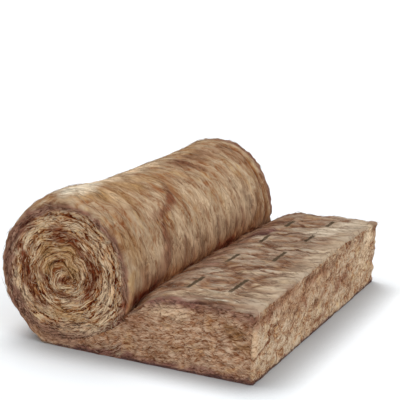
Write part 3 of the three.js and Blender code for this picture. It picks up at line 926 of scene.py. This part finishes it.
def folds_over(places, on_cut_face_skin):
    """The distance beyond the nearest fold and its strength, or on the cut face those of the flap."""
    beyond, strength = fold_places(places[:, 0], places[:, 1])
    strength *= clear_of_marks(places[:, 0], places[:, 1])
    chosen = places[on_cut_face_skin]
    beyond[on_cut_face_skin], strength[on_cut_face_skin] = flap_places(chosen[:, 1], chosen[:, 2])
    return columns(beyond, strength, 0)


def all_corners(parts):
    return np.concatenate([part.reshape(-1, 3) for part in parts])


def add_object(name, data):
    ob = bpy.data.objects.new(name, data)
    bpy.context.scene.collection.objects.link(ob)
    return ob


def build_skin():
    mat = mat_sections()
    count = len(mat.kinds)
    places = columns(mat.rows[..., 0], mat.ys[:, None], mat.rows[..., 1]).reshape(-1, 3)
    skin_count = len(places)
    faces, kinds, lay, zone = skin_faces(mat, places)
    faces, kinds, lays, zones = faces.tolist(), [kinds], [lay], [zone]
    ends = []
    for row, step, seed in ((0, FRONT_STEP, 1), (len(mat.ys) - 1, REAR_STEP, 2)):
        end = build_end(mat.rows[row], mat.ys[row], row * count, len(places), step, seed)
        ends.append(end)
        inner = end.at[count:]
        places = np.concatenate([places, columns(inner[:, 0], end.y, inner[:, 1])])
        faces += end.triangles.tolist()
        kinds.append(np.where(end.flat, FINISHES.index("layered_side"), FINISHES.index("wound_end")))
        lays.append(end.lay)
        zones.append(end.zone)

    mesh = bpy.data.meshes.new("wool_mat_skin")
    mesh.from_pydata(places.tolist(), [], faces)
    normals = np.empty(len(places) * 3, np.float32)
    mesh.vertex_normals.foreach_get("vector", normals)

    relief, hollow_shade = np.zeros(len(places)), np.zeros(len(places))
    relief[:skin_count], hollow_shade[:skin_count] = relief_between_ends(mat, places[:skin_count])
    for end in ends:
        raised, hollow_shade[end.number] = end_relief(end.at[:, 0], end.at[:, 1], end.y)
        on_rim = np.arange(len(end.at)) < count
        blended = relief[end.number] * (1 - RIM_SHARE) + raised * RIM_SHARE
        relief[end.number] = np.where(on_rim, blended, raised)
    stood_out = places + normals.reshape(-1, 3) * relief[:, None]
    stood_out[:, 2] = np.maximum(stood_out[:, 2], 0)
    stood_out += np.array(ORIGIN)
    mesh.vertices.foreach_set("co", stood_out.astype(np.float32).ravel())
    mesh.update()

    on_cut = np.flatnonzero(np.tile(of_kind(mat.kinds, "cut_face"), len(mat.ys)))
    for name, form, domain, key, values in (
        ("lay", "FLOAT_VECTOR", "CORNER", "vector", all_corners(lays)),
        ("zone", "FLOAT_VECTOR", "CORNER", "vector", all_corners(zones)),
        ("hollow_shade", "FLOAT", "POINT", "value", hollow_shade),
        ("stain_and_painted_light", "FLOAT_COLOR", "POINT", "color", stains_and_painted_light_at(places)),
        ("fold", "FLOAT_VECTOR", "POINT", "vector", folds_over(places, on_cut)),
        ("flow", "FLOAT_VECTOR", "POINT", "vector", flow_over(len(places), mat.rows, ends)),
    ):
        mesh.attributes.new(name, form, domain).data.foreach_set(key, values.astype(np.float32).ravel())
    mesh.polygons.foreach_set("material_index", np.concatenate(kinds).astype(np.int32))
    mesh.polygons.foreach_set("use_smooth", np.ones(len(faces), bool))
    return add_object("wool_mat_skin", mesh)


# ---------------------------------------------------------------- finishes

class Nodes:
    """Adds nodes to a tree, linking any input that is given another node's output."""

    def __init__(self, tree):
        self.tree = tree

    def give(self, node, inputs):
        for name, value in dict(inputs).items():
            if isinstance(value, bpy.types.NodeSocket):
                self.tree.links.new(value, node.inputs[name])
            else:
                node.inputs[name].default_value = value

    def add(self, kind, inputs=(), **settings):
        node = self.tree.nodes.new(kind)
        for name, value in settings.items():
            setattr(node, name, value)
        self.give(node, inputs)
        return node

    def maths(self, operation, *values):
        return self.add("ShaderNodeMath", enumerate(values), operation=operation).outputs[0]

    def vector_maths(self, operation, *values):
        return self.add("ShaderNodeVectorMath", enumerate(values), operation=operation).outputs[0]

    def vector(self, *parts):
        return self.add("ShaderNodeCombineXYZ", enumerate(parts)).outputs[0]

    def parts(self, vector):
        return self.add("ShaderNodeSeparateXYZ", {0: vector}).outputs

    def carried(self, name):
        """What the mesh carries under a name, in each form that a shader can take it."""
        return self.add("ShaderNodeAttribute", attribute_name=name).outputs

    def times(self, first, second):
        return self.maths("MULTIPLY", first, second)

    def add_share(self, part, share, total):
        return self.maths("MULTIPLY_ADD", part, share, total)

    def swing(self, part, share, total):
        """The total with a share added of how far a part is from 0.5."""
        return self.add_share(self.maths("SUBTRACT", part, 0.5), share, total)

    def noise(self, vector, detail=3, roughness=0.6, output="Fac"):
        inputs = {"Vector": vector, "Scale": 1, "Detail": detail, "Roughness": roughness}
        return self.add("ShaderNodeTexNoise", inputs).outputs[output]

    def lumps(self, place, size, detail):
        return self.noise(self.stretch(place, (size, size, size)), detail)

    def drift(self, vector, sizes, reach):
        """Coordinates that wander about by up to the given reach, with swirls of the given sizes."""
        wander = self.noise(self.stretch(vector, sizes), 1, output="Color")
        away = self.vector_maths("SUBTRACT", wander, (0.5, 0.5, 0.5))
        return self.vector_maths("MULTIPLY_ADD", away, (reach * 2.5, reach * 2.5, 0), vector)

    def stretch(self, vector, sizes, slant=0.0):
        """Coordinates in which one unit is the given length each way, in metres."""
        scale = [1 / size for size in sizes]
        turned = self.add("ShaderNodeMapping", {"Vector": vector, "Rotation": (0, 0, slant)}).outputs[0]
        return self.add("ShaderNodeMapping", {"Vector": turned, "Scale": scale}).outputs[0]

    def blend(self, factor, first, second, blend_type="MIX"):
        inputs = {0: factor, 6: first, 7: second}
        return self.add("ShaderNodeMix", inputs, data_type="RGBA", blend_type=blend_type).outputs[2]

    def toned(self, tone, shades):
        """The fibre's colour, from the shade of its hollows to that of its highest strands."""
        ramp = self.add("ShaderNodeValToRGB", {"Fac": tone})
        elements = ramp.color_ramp.elements
        for position in TONE_STOPS[2:]:
            elements.new(position)
        for element, position, shade in zip(elements, TONE_STOPS, shades):
            element.position, element.color = position, paint(*shade)
        return ramp.outputs["Color"]

    def fade(self, value, low, high, start=0.0, end=1.0):
        """Smooth change from start to end as the value goes from low to high."""
        inputs = {"Value": value, "From Min": low, "From Max": high, "To Min": start, "To Max": end}
        return self.add("ShaderNodeMapRange", inputs, interpolation_type="SMOOTHSTEP").outputs[0]


# Shades of the fibre from its hollows to its highest strands, and the tones at which they stand
TONES = {
    "roll_skin": ((126, 80, 50), (150, 112, 80), (167, 137, 107), (180, 154, 125), (198, 177, 150)),
    "tail_skin": ((104, 74, 58), (136, 108, 88), (156, 130, 109), (171, 150, 130), (184, 169, 150)),
    "cut_face": ((112, 68, 46), (151, 111, 83), (178, 145, 114), (193, 165, 135), (215, 195, 169)),
    "underside": ((90, 62, 48), (112, 84, 66), (130, 102, 82), (146, 118, 96), (168, 142, 118)),
    "wound_end": ((78, 24, 3), (131, 70, 34), (165, 119, 77), (190, 156, 119), (224, 204, 174)),
    "layered_side": ((116, 70, 44), (150, 109, 80), (172, 134, 105), (188, 153, 125), (214, 185, 158)),
}
RING_TONES = ((86, 48, 38), (106, 66, 53), (122, 84, 70), (140, 104, 88), (172, 139, 119))
TONE_STOPS = (0.22, 0.39, 0.5, 0.61, 0.78)
PAINTED_FOOT_SHADOW_HEIGHT, PAINTED_FOOT_SHADOW = 0.009, (84, 62, 62)  # painted contact shadow: the dark line along the foot of the sides
PAINTED_FOOT_SHADOW_WANDER = 0.010
SWIRL_SIZES, CURL_SIZES = (0.11, 0.07, 1), (0.028, 0.016, 1)  # along and across the mat
PAINTED_CREASE_SHADE = (1.10, 0.84, 0.64, 1)  # painted shade: what the colour is multiplied by along the crease
PAINTED_LIGHT_BESIDE_CREASE = (1.58, 1.44, 1.28, 1)  # painted light: and again right beside it, lifting the shade there
YELLOW_TINT = (1.03, 0.97, 0.80, 1)  # what the colour is multiplied by in its yellower clouds
PAINTED_HOLLOW_SHADE_TINT = (1.0, 0.66, 0.40, 1)  # painted shade: what the colour is multiplied by in the hollows, which reddens them
EDGE_SHADE, EDGE_PALENESS = (200, 184, 160), 0.40  # the pale strip of the tail's top beside the cut face
RING_STRENGTH = 0.88
CUT_HEAD, CUT_HEAD_DIP = (0.178, 0.204), -0.16  # the heights between which the cut face darkens upwards

# How each kind of surface is streaked and flaked: one column for each of the finishes, in their order. The
# streak, the cloud, the flake and the ledge are lengths along and across the mat, and the plural rows say
# how much each of them shows in the tone
LOOK_PARTS = {
    "streak": ((0.08, 0.008), (0.08, 0.018), (0.009, 0.02), (0.08, 0.012), (0.046, 0.0052), (0.05, 0.006)),
    "slant": (9, 14, 34, 0, 3, 13),  # degrees from the way the mat runs
    "swirl": (0.040, 0.034, 0.022, 0.020, 0.014, 0.016),  # how far the streaks wander
    "curl": (0.014, 0.012, 0.006, 0.005, 0.005, 0.006),  # how far they wander within a few centimetres
    "streaks": (0.36, 0.24, 1.10, 0.80, 1.30, 0.80),
    "fine": (0.40, 0.28, 1.20, 0.60, 1.60, 0.95),  # how much the finer streaks show
    "cloud": ((0.14, 0.06), (0.18, 0.08), (0.070, 0.12), (0.18, 0.09), (0.09, 0.042), (0.12, 0.042)),
    "clouds": (0.85, 0.95, 1.2, 0.7, 1.0, 0.7),
    "flake": ((0.12, 0.03), (0.12, 0.034), (0.022, 0.045), (0.05, 0.014), (0.03, 0.0075), (0.04, 0.0065)),
    "flakes": (0.10, 0.06, 0.18, 0.06, 0.20, 0.14),
    "cracks": (0.06, 0.0, 0.10, 0.0, 0.26, 0.12),  # between the flakes
    "seams": (0.10, 0.08, 0.26, 0.15, 0.66, 0.26),  # between the streaks
    "dips": (0.16, 0.22, 0.16, 0.16, 0.16, 0.18),  # painted shade: how much darker the hollows are
    "rust": (0.6, 0.4, 0.4, 0.4, 0.9, 0.55),  # and how much redder that painted shade makes them
    "lift": (0.045, 0.045, 0.20, 0.0, 0.27, 0.18),  # how much paler the whole is
    "bump": (0.002, 0.004, 0.004, 0.004, 0.004, 0.004),  # height of the fine relief
    "ledge": ((0.20, 0.05), (0.16, 0.07), (0.04, 0.07), (0.1, 0.03), (0.12, 0.010), (0.07, 0.014)),
    "count": (10, 12, 10, 6, 8, 8),  # ledges from the lowest to the highest of their noise
    "ledges": (0.05, 0.06, 0.08, 0.0, 0.12, 0.16),
}
Look = namedtuple("Look", LOOK_PARTS)
LOOKS = {kind: Look(*column) for kind, column in zip(FINISHES, zip(*LOOK_PARTS.values()))}


def matt_material(name):
    """A plain matt material, with its nodes and its shader."""
    material = bpy.data.materials.new(name)
    material.use_nodes = True
    shader = material.node_tree.nodes["Principled BSDF"]
    n = Nodes(material.node_tree)
    n.give(shader, {"Roughness": 0.95, "Specular IOR Level": 0.1})
    return material, n, shader


def inked(n, colour, place, strength):
    """The colour with the printed marks over it."""
    nearest = 9.0
    for x, start, end, width in MARKS:
        middle = ORIGIN + Vector((x, (start + end) / 2, 0))
        off = n.vector_maths("ABSOLUTE", n.vector_maths("SUBTRACT", place, middle))
        parts = n.parts(n.vector_maths("MULTIPLY", off, (2 / width, 2 / (end - start), 0)))
        nearest = n.maths("MINIMUM", n.maths("MAXIMUM", parts["X"], parts["Y"]), nearest)
    ink = n.times(n.fade(nearest, 0.88, 1.06, 1.0, 0.0), strength)
    return n.blend(ink, colour, paint(*MARK_INK))


def painted_fold_shade_and_highlight(n, grain):
    """What the folds add to the tone: a thin line of painted shade along each, and a painted highlight on
    the bank beyond it.
    """
    fold = n.parts(n.carried("fold")["Vector"])
    beyond = n.swing(grain, 0.006, fold["X"])
    line = n.fade(n.maths("ABSOLUTE", beyond), 0.0010, 0.0075, -0.62, 0.0)
    rise, fall = n.fade(beyond, 0.003, 0.009, 0.0, 0.18), n.fade(beyond, 0.012, 0.030, 1.0, 0.0)
    return n.times(n.maths("ADD", line, n.times(rise, fall)), fold["Y"])


def painted_flap_shadow_and_highlight(n, grain):
    """What the flap adds to the cut face's tone: a painted highlight on its lip, and its painted shadow just
    outside the torn edge.
    """
    fold = n.parts(n.carried("fold")["Vector"])
    inside = n.swing(grain, 0.008, fold["X"])
    lip = n.fade(n.maths("ABSOLUTE", n.maths("SUBTRACT", inside, 0.005)), 0.001, 0.007, 0.26, 0.0)
    shadow = n.fade(n.maths("ABSOLUTE", n.maths("ADD", inside, 0.008)), 0.001, 0.010, -0.40, 0.0)
    return n.times(n.maths("ADD", lip, shadow), fold["Y"])


def under_stains_and_painted_light(n, colour, tone, grain, patchy=(0.35, 0.58, 0.6)):
    """The colour under the stains and the painted light and shade that the skin carries, which keep the
    light and dark of the fibre.
    """
    stain_and_painted_light = n.carried("stain_and_painted_light")
    shade = n.fade(tone, 0.2, 0.8, 0.45, 1.55)
    over = n.blend(1.0, stain_and_painted_light["Color"], n.vector(shade, shade, shade), "MULTIPLY")
    taken = n.maths("MINIMUM", n.times(stain_and_painted_light["Alpha"], n.fade(grain, *patchy, 1.2)), 1.0)
    return n.blend(taken, colour, over)


def wool(kind):
    """Matted fibre: streaks and flakes laid along the mat, dark cracks between, and clouds of colour."""
    material, n, shader = matt_material(kind)
    look = LOOKS[kind]
    long, wide = look.streak
    slant = math.radians(look.slant)
    lay = n.carried("lay")["Vector"]
    hollow_shade = n.carried("hollow_shade")["Fac"]
    zone = n.parts(n.carried("zone")["Vector"])
    place = n.add("ShaderNodeTexCoord").outputs["Object"]
    beside_crease = kind in ("roll_skin", "tail_skin")

    # The streaks and flakes lie along the mat, on coordinates that swirl and curl
    lay = n.drift(lay, SWIRL_SIZES, look.swirl)
    lay = n.drift(lay, CURL_SIZES, look.curl)

    def laid(long, wide, lean, *detail):
        return n.noise(n.stretch(lay, (long, wide, 1), lean), *detail)

    streaks = laid(long, wide, slant)
    fine = laid(long * 0.45, wide * 0.45, -slant)
    clouds = laid(*look.cloud, slant)
    clots = n.lumps(place, 0.03, 4)
    flake_place = n.stretch(lay, (*look.flake, 1), slant)
    cells = {"Vector": flake_place, "Scale": 1.0}
    flake = n.parts(n.add("ShaderNodeTexVoronoi", cells).outputs["Color"])[0]
    border = n.add("ShaderNodeTexVoronoi", cells, feature="DISTANCE_TO_EDGE").outputs["Distance"]
    crack = n.fade(border, 0.0, 0.09, 1.0, 0.0)
    crack = n.times(crack, n.fade(clots, 0.40, 0.58, 0.05, 1.0))
    strand = laid(long * 0.55, wide * 0.75, slant, 2)
    seam = n.fade(strand, 0.33, 0.46, 1.0, 0.0)
    thread = n.fade(strand, 0.56, 0.70)
    ledge = n.maths("FRACT", n.times(laid(*look.ledge, slant, 2, 0.5), look.count))
    drop = n.fade(ledge, 0.0, 0.16, 1.0, 0.0)

    # The tone, which picks the shade
    tone = 0.0
    for part, share in ((streaks, look.streaks), (fine, look.fine)):
        tone = n.swing(part, share, tone)
    tone = n.add_share(thread, look.seams * 0.7, tone)
    if beside_crease:
        tone = n.times(tone, n.fade(n.lumps(place, 0.09, 2), 0.38, 0.60, 0.35, 1.5))
    for part, share in ((ledge, look.ledges), (clouds, look.clouds), (flake, look.flakes), (clots, 0.3)):
        tone = n.swing(part, share, tone)
    if kind == "tail_skin":
        tone = n.times(tone, n.add_share(zone["X"], -0.6, 1.0))
        tone = n.add_share(zone["X"], 0.05, tone)
    tone = n.maths("ADD", tone, 0.5 + look.lift)
    if kind == "tail_skin":
        tone = n.maths("ADD", tone, painted_fold_shade_and_highlight(n, fine))
    if kind == "cut_face":
        head = n.fade(n.parts(place)["Z"], *CUT_HEAD, 0.0, CUT_HEAD_DIP)
        tone = n.maths("ADD", tone, n.maths("ADD", painted_flap_shadow_and_highlight(n, fine), head))
    # Painted light lifts the roll's tone near the crease, and painted shade lowers the tail's there
    if beside_crease:
        tone = n.add_share(zone["Y"], 0.08 if kind == "roll_skin" else -0.10, tone)
    if kind == "wound_end":
        tone = n.add_share(zone["Y"], -0.14, tone)
        # painted shade along the lines between the turns
        tone = n.add_share(zone["Z"], -0.42, tone)
    # Painted shade darkens the hollows, and the cracks, seams and ledge drops take a darker tone
    for part, share in ((hollow_shade, look.dips), (crack, look.cracks), (seam, look.seams), (drop, look.ledges)):
        tone = n.add_share(part, -share, tone)

    # The colour, tinted in places and given painted shade and light, with the stains and the ink over it
    colour = n.toned(tone, TONES[kind])
    yellower = n.fade(n.lumps(place, 0.05, 3), 0.5, 0.7)
    if kind == "cut_face":
        yellower = n.times(yellower, 0.7)
    colour = n.blend(yellower, colour, YELLOW_TINT, "MULTIPLY")
    # Painted shade, reddened, in the hollows and the cracks
    depth = n.maths("MINIMUM", n.add_share(crack, look.cracks * 1.5, hollow_shade), 1.0)
    colour = n.blend(n.times(depth, look.rust), colour, PAINTED_HOLLOW_SHADE_TINT, "MULTIPLY")
    # Painted shade along the crease, and painted light close beside it except in its hollows
    if beside_crease:
        colour = n.blend(zone["Y"], colour, PAINTED_CREASE_SHADE, "MULTIPLY")
        beside = n.times(n.maths("POWER", zone["Y"], 6.0), n.maths("SUBTRACT", 1.0, hollow_shade))
        colour = n.blend(beside, colour, PAINTED_LIGHT_BESIDE_CREASE, "MULTIPLY")
    if kind in ("wound_end", "roll_skin"):
        colour = n.blend(n.times(zone["X"], RING_STRENGTH), colour, n.toned(tone, RING_TONES))
    if kind == "tail_skin":
        colour = n.blend(n.times(zone["X"], EDGE_PALENESS), colour, paint(*EDGE_SHADE))
    if kind == "wound_end":
        colour = under_stains_and_painted_light(n, colour, tone, streaks, (0.42, 0.56, 0.3))
    else:
        colour = under_stains_and_painted_light(n, colour, tone, streaks)
    # Painted contact shadow along the foot of the sides
    if kind in ("cut_face", "layered_side"):
        foot = n.swing(clots, PAINTED_FOOT_SHADOW_WANDER, n.parts(place)["Z"])
        colour = n.blend(n.fade(foot, PAINTED_FOOT_SHADOW_HEIGHT * 0.4, PAINTED_FOOT_SHADOW_HEIGHT, 0.85, 0.0), colour, paint(*PAINTED_FOOT_SHADOW))
    if kind == "tail_skin":
        colour = inked(n, colour, place, n.fade(fine, 0.3, 0.55, 0.75, 1.0))

    height = n.add_share(streaks, 0.8, n.times(fine, 0.5))
    height = n.add_share(flake, look.flakes * 0.8, height)
    height = n.add_share(crack, -look.cracks, height)
    bump = n.add("ShaderNodeBump", {"Strength": 1.0, "Distance": look.bump, "Height": height}).outputs[0]
    n.give(shader, {"Base Color": colour, "Normal": bump})
    return material


def fibre(kind):
    """One loose strand's finish: the tones of the skin it grows from, each strand a little different."""
    material, n, shader = matt_material(kind + "_fibre")
    place = n.add("ShaderNodeTexCoord").outputs["Object"]
    clots = n.lumps(place, 0.04, 3)
    tone = n.swing(clots, 0.8, n.carried("tint")["Fac"])
    colour = under_stains_and_painted_light(n, n.toned(tone, TONES[kind]), tone, clots)
    if kind == "tail_skin":
        colour = inked(n, colour, place, 0.85)
    n.give(shader, {"Base Color": colour})
    return material


# ---------------------------------------------------------------- loose fibre

# Loose fibre on each kind of surface: the strands for each square metre, their length in metres, their
# width, curl and arch as shares of it, their spread and lift in radians, and their flatness
STRAND_SETTINGS = ("Density", "Length", "Slenderness", "Curl", "Arch", "Spread", "Lift", "Flatness")
STRANDS = {
    "roll_fibres": ("roll_skin", 3600, 0.040, 0.030, 0.20, 0.09, 0.50, 0.05, 0.7),
    "tail_fibres": ("tail_skin", 5000, 0.034, 0.034, 0.20, 0.08, 0.60, 0.06, 0.7),
    "side_fibres": ("layered_side", 13000, 0.020, 0.062, 0.26, 0.12, 0.9, 0.26, 0.7),
    "cut_fibres": ("cut_face", 13000, 0.014, 0.100, 0.30, 0.12, 3.0, 0.24, 0.7),
    "end_fibres": ("wound_end", 18000, 0.018, 0.085, 0.32, 0.12, 0.8, 0.18, 0.7),
}
STRAND_EDGES = 3  # straight stretches along one strand
STRAND_SIDES = 3


def strand_tree(kind, material):
    """Scatters tapered strands over one kind of the skin's faces, each lying the way the fibres flow."""
    tree = bpy.data.node_groups.new("strands", "GeometryNodeTree")
    n = Nodes(tree)
    sockets = [("Skin", "INPUT", "Geometry"), *((name, "INPUT", "Float") for name in STRAND_SETTINGS)]
    sockets += [("Seed", "INPUT", "Int"), ("Strands", "OUTPUT", "Geometry")]
    for name, way, form in sockets:
        tree.interface.new_socket(name, in_out=way, socket_type="NodeSocket" + form)
    given = n.add("NodeGroupInput").outputs

    def made(node, inputs, **settings):
        return n.add(node, inputs, **settings).outputs[0]

    def between(low, high, seed):
        return n.add("FunctionNodeRandomValue", {"Min": low, "Max": high, "Seed": seed}).outputs["Value"]

    # One strand, a metre long, arched up and curled sideways, tapering at both ends
    line = made("GeometryNodeCurveQuadraticBezier", {
        "Resolution": STRAND_EDGES,
        "Start": (-0.5, 0, 0),
        "Middle": n.vector(0.0, given["Curl"], given["Arch"]),
        "End": (0.5, 0, 0),
    })
    share = n.add("GeometryNodeSplineParameter").outputs["Factor"]
    taper = n.maths("SINE", n.add_share(share, math.pi * 0.86, math.pi * 0.07))
    section = made("GeometryNodeCurvePrimitiveCircle", {
        "Resolution": STRAND_SIDES,
        "Radius": n.times(given["Slenderness"], 0.5),
    })
    strand = made("GeometryNodeCurveToMesh", {
        "Curve": line, "Profile Curve": section, "Scale": taper, "Fill Caps": True,
    })

    # Where the strands grow, and how each lies
    scattered = n.add("GeometryNodeDistributePointsOnFaces", {
        "Mesh": given["Skin"],
        "Selection": made("GeometryNodeMaterialSelection", {"Material": bpy.data.materials[kind]}),
        "Density": given["Density"],
        "Seed": given["Seed"],
    }).outputs
    flow = made("GeometryNodeInputNamedAttribute", {"Name": "flow"}, data_type="FLOAT_VECTOR")
    axes = {"Primary Axis": scattered["Normal"], "Secondary Axis": flow}
    laid = made("FunctionNodeAxesToRotation", axes, primary_axis="Z", secondary_axis="X")
    spread = n.times(between(-1.0, 1.0, 1), given["Spread"])
    lift = n.times(between(-1.0, 1.0, 2), given["Lift"])
    about = n.times(n.maths("ROUND", between(0.0, 1.0, 3)), math.pi)
    turn = n.vector(between(-0.4, 0.4, 4), lift, n.maths("ADD", spread, about))
    length = n.times(given["Length"], between(0.45, 1.45, 5))
    across = n.times(length, between(0.7, 1.2, 6))
    grown = made("GeometryNodeInstanceOnPoints", {
        "Points": scattered["Points"],
        "Instance": strand,
        "Rotation": made("FunctionNodeRotateRotation", {0: laid, 1: turn}, rotation_space="LOCAL"),
        "Scale": n.vector(length, across, n.times(across, given["Flatness"])),
    })
    tint = {"Geometry": grown, "Name": "tint", "Value": between(0.25, 1.0, 7)}
    tinted = made("GeometryNodeStoreNamedAttribute", tint, data_type="FLOAT", domain="INSTANCE")
    real = made("GeometryNodeRealizeInstances", {"Geometry": tinted})
    finished = made("GeometryNodeSetMaterial", {"Geometry": real, "Material": material})
    n.add("NodeGroupOutput", {"Strands": finished})
    return tree


def read(members, name):
    """One whole number of each of a mesh's members."""
    values = np.empty(len(members), np.int32)
    members.foreach_get(name, values)
    return values


def give_strands_cells(mesh):
    """A UV cell for every strand, with its sides laid side by side and its two tips beyond them."""
    per_strand = (STRAND_EDGES + 1) * STRAND_SIDES
    cells_wide = math.ceil(math.sqrt(len(mesh.vertices) // per_strand))
    starts, totals = read(mesh.polygons, "loop_start"), read(mesh.polygons, "loop_total")
    owner = np.repeat(np.arange(len(totals)), totals)
    strand, within = np.divmod(read(mesh.loops, "vertex_index"), per_strand)
    ring, side = np.divmod(within, STRAND_SIDES)

    def over_faces(values, pick):
        return pick.reduceat(values, starts)[owner]

    tip = over_faces(ring, np.minimum) == over_faces(ring, np.maximum)
    whole_way_round = over_faces(side, np.maximum) - over_faces(side, np.minimum) == STRAND_SIDES - 1
    wraps = whole_way_round & (side == 0) & ~tip
    along = np.where(tip, 0.86 + 0.1 * (side == 1), ring / STRAND_EDGES * 0.8)
    tip_across = np.where(ring == 0, 0.1, 0.6) + 0.3 * (side == 2)
    across = np.where(tip, tip_across, (side + wraps * STRAND_SIDES) / STRAND_SIDES)
    cell = columns(strand % cells_wide, strand // cells_wide)
    uv = (cell + 0.05 + 0.9 * columns(along, across)) / cells_wide
    mesh.uv_layers.new(name="OFBake").data.foreach_set("uv", uv.astype(np.float32).ravel())


def grow_strands(name, skin, seed, kind, *settings):
    """Loose strands over one kind of the skin's faces, as one plain mesh."""
    material = fibre(kind)
    tree = strand_tree(kind, material)
    bed = add_object(name, skin.data)
    modifier = bed.modifiers.new("strands", "NODES")
    modifier.node_group = tree
    identifiers = {item.name: item.identifier for item in tree.interface.items_tree}
    for label, value in zip(STRAND_SETTINGS, settings):
        modifier[identifiers[label]] = value
    modifier[identifiers["Seed"]] = seed
    mesh = bpy.data.meshes.new_from_object(bed.evaluated_get(bpy.context.evaluated_depsgraph_get()))
    places = np.empty(len(mesh.vertices) * 3, np.float32)
    mesh.vertices.foreach_get("co", places)
    places[2::3] = np.maximum(places[2::3], 0)
    mesh.vertices.foreach_set("co", places)
    bpy.data.objects.remove(bed)
    for attribute in list(mesh.attributes):
        spare = attribute.name not in ("position", "stain_and_painted_light", "tint") and not attribute.is_internal
        if spare and not attribute.is_required:
            mesh.attributes.remove(attribute)
    mesh.materials.clear()
    mesh.materials.append(material)
    give_strands_cells(mesh)
    mesh.name = name
    return add_object(name, mesh)


# ---------------------------------------------------------------- camera, floor and light

FOCAL_LENGTH = 124.66  # millimetres, on a sensor 36 mm across
CAMERA_AZIMUTH = math.radians(-22.311)
CAMERA_DROP = math.radians(13.4446)
CAMERA_ROLL = math.radians(3.3496)
CAMERA_PLACE = ORIGIN + Vector((1.8336, -3.4485, 1.3997))


def set_camera():
    ahead = Vector((
        math.sin(CAMERA_AZIMUTH) * math.cos(CAMERA_DROP),
        math.cos(CAMERA_AZIMUTH) * math.cos(CAMERA_DROP),
        -math.sin(CAMERA_DROP),
    ))
    level = ahead.cross(Vector((0, 0, 1))).normalized()
    upright = level.cross(ahead)
    right = math.cos(CAMERA_ROLL) * level + math.sin(CAMERA_ROLL) * upright
    up = -math.sin(CAMERA_ROLL) * level + math.cos(CAMERA_ROLL) * upright
    camera = add_object("camera", bpy.data.cameras.new("camera"))
    camera.data.lens = FOCAL_LENGTH
    camera.data.sensor_width = 36
    camera.data.clip_end = 100
    turned = Matrix((right, up, -ahead)).transposed().to_4x4()
    camera.matrix_world = Matrix.Translation(CAMERA_PLACE) @ turned
    bpy.context.scene.camera = camera


SKY_STRENGTH = 0.62
# The lamps: the way their light comes from, their strength and how wide they look, in degrees
LAMPS = {
    "high_lamp": (Vector((-0.24, 0.30, 0.92)), 1.3, 36),
    "side_lamp": (Vector((0.72, -0.50, 0.48)), 0.85, 60),
}
FLOOR_SHADE = 0.8  # share of the light that the floor gives back to the object
CONTACT_REACH, CONTACT_SHADE = 0.15, 0.58  # painted contact shadow: the floor drawn darker close to the object
CONTACT_LEAN = Vector((-0.62, 0.30, 0.72)).normalized()  # the painted contact shadow falls away from here
FLOOR_SEEN = (0.955, 0.990, 1.02, 1)  # colour of the floor as the camera sees it
FLOOR_HALF_WIDTH = 30


def set_light():
    world = bpy.data.worlds.new("sky")
    bpy.context.scene.world = world
    world.use_nodes = True
    n = Nodes(world.node_tree)
    seen = n.add("ShaderNodeLightPath").outputs["Is Camera Ray"]
    strength = n.add_share(seen, 1 - SKY_STRENGTH, SKY_STRENGTH)
    n.give(world.node_tree.nodes["Background"], {"Color": (1, 1, 1, 1), "Strength": strength})
    for name, (comes_from, strength, spread) in LAMPS.items():
        lamp = bpy.data.lights.new(name, "SUN")
        lamp.energy = strength
        lamp.angle = math.radians(spread)
        add_object(name, lamp).rotation_euler = comes_from.to_track_quat("Z", "Y").to_euler()


def lay_floor():
    """A floor that looks white where no shadow falls on it, with a painted contact shadow close to the
    object.
    """
    w = FLOOR_HALF_WIDTH
    mesh = bpy.data.meshes.new("floor")
    mesh.from_pydata([(-w, -w, 0), (w, -w, 0), (w, w, 0), (-w, w, 0)], [], [(0, 1, 2, 3)])
    floor = add_object("floor", mesh)
    material = bpy.data.materials.new("white_floor")
    material.use_nodes = True
    n = Nodes(material.node_tree)
    material.node_tree.nodes.remove(material.node_tree.nodes["Principled BSDF"])
    seen = n.add("ShaderNodeLightPath").outputs["Is Camera Ray"]
    # Painted contact shadow, seen by the camera only: the floor darker where the object closes in on it
    contact = {"Distance": CONTACT_REACH, "Normal": n.vector(*CONTACT_LEAN)}
    open_air = n.add("ShaderNodeAmbientOcclusion", contact, samples=8).outputs["AO"]
    shade = n.fade(open_air, 0.45, 1.0, CONTACT_SHADE, 1.0)
    seen_colour = n.blend(1.0, FLOOR_SEEN, n.vector(shade, shade, shade), "MULTIPLY")
    colour = n.blend(seen, (FLOOR_SHADE, FLOOR_SHADE, FLOOR_SHADE, 1), seen_colour)
    matt = n.add("ShaderNodeBsdfDiffuse", {"Color": colour}).outputs[0]
    n.give(material.node_tree.nodes["Material Output"], {"Surface": matt})
    mesh.materials.append(material)


skin = build_skin()
for kind in FINISHES:
    skin.data.materials.append(wool(kind))
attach(skin, "root")
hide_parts("wool_mat")
for seed, (name, settings) in enumerate(STRANDS.items()):
    strands = grow_strands(name, skin, seed, *settings)
    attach(strands, "root")

set_camera()
set_light()
lay_floor()
bpy.context.scene.view_settings.view_transform = "Standard"
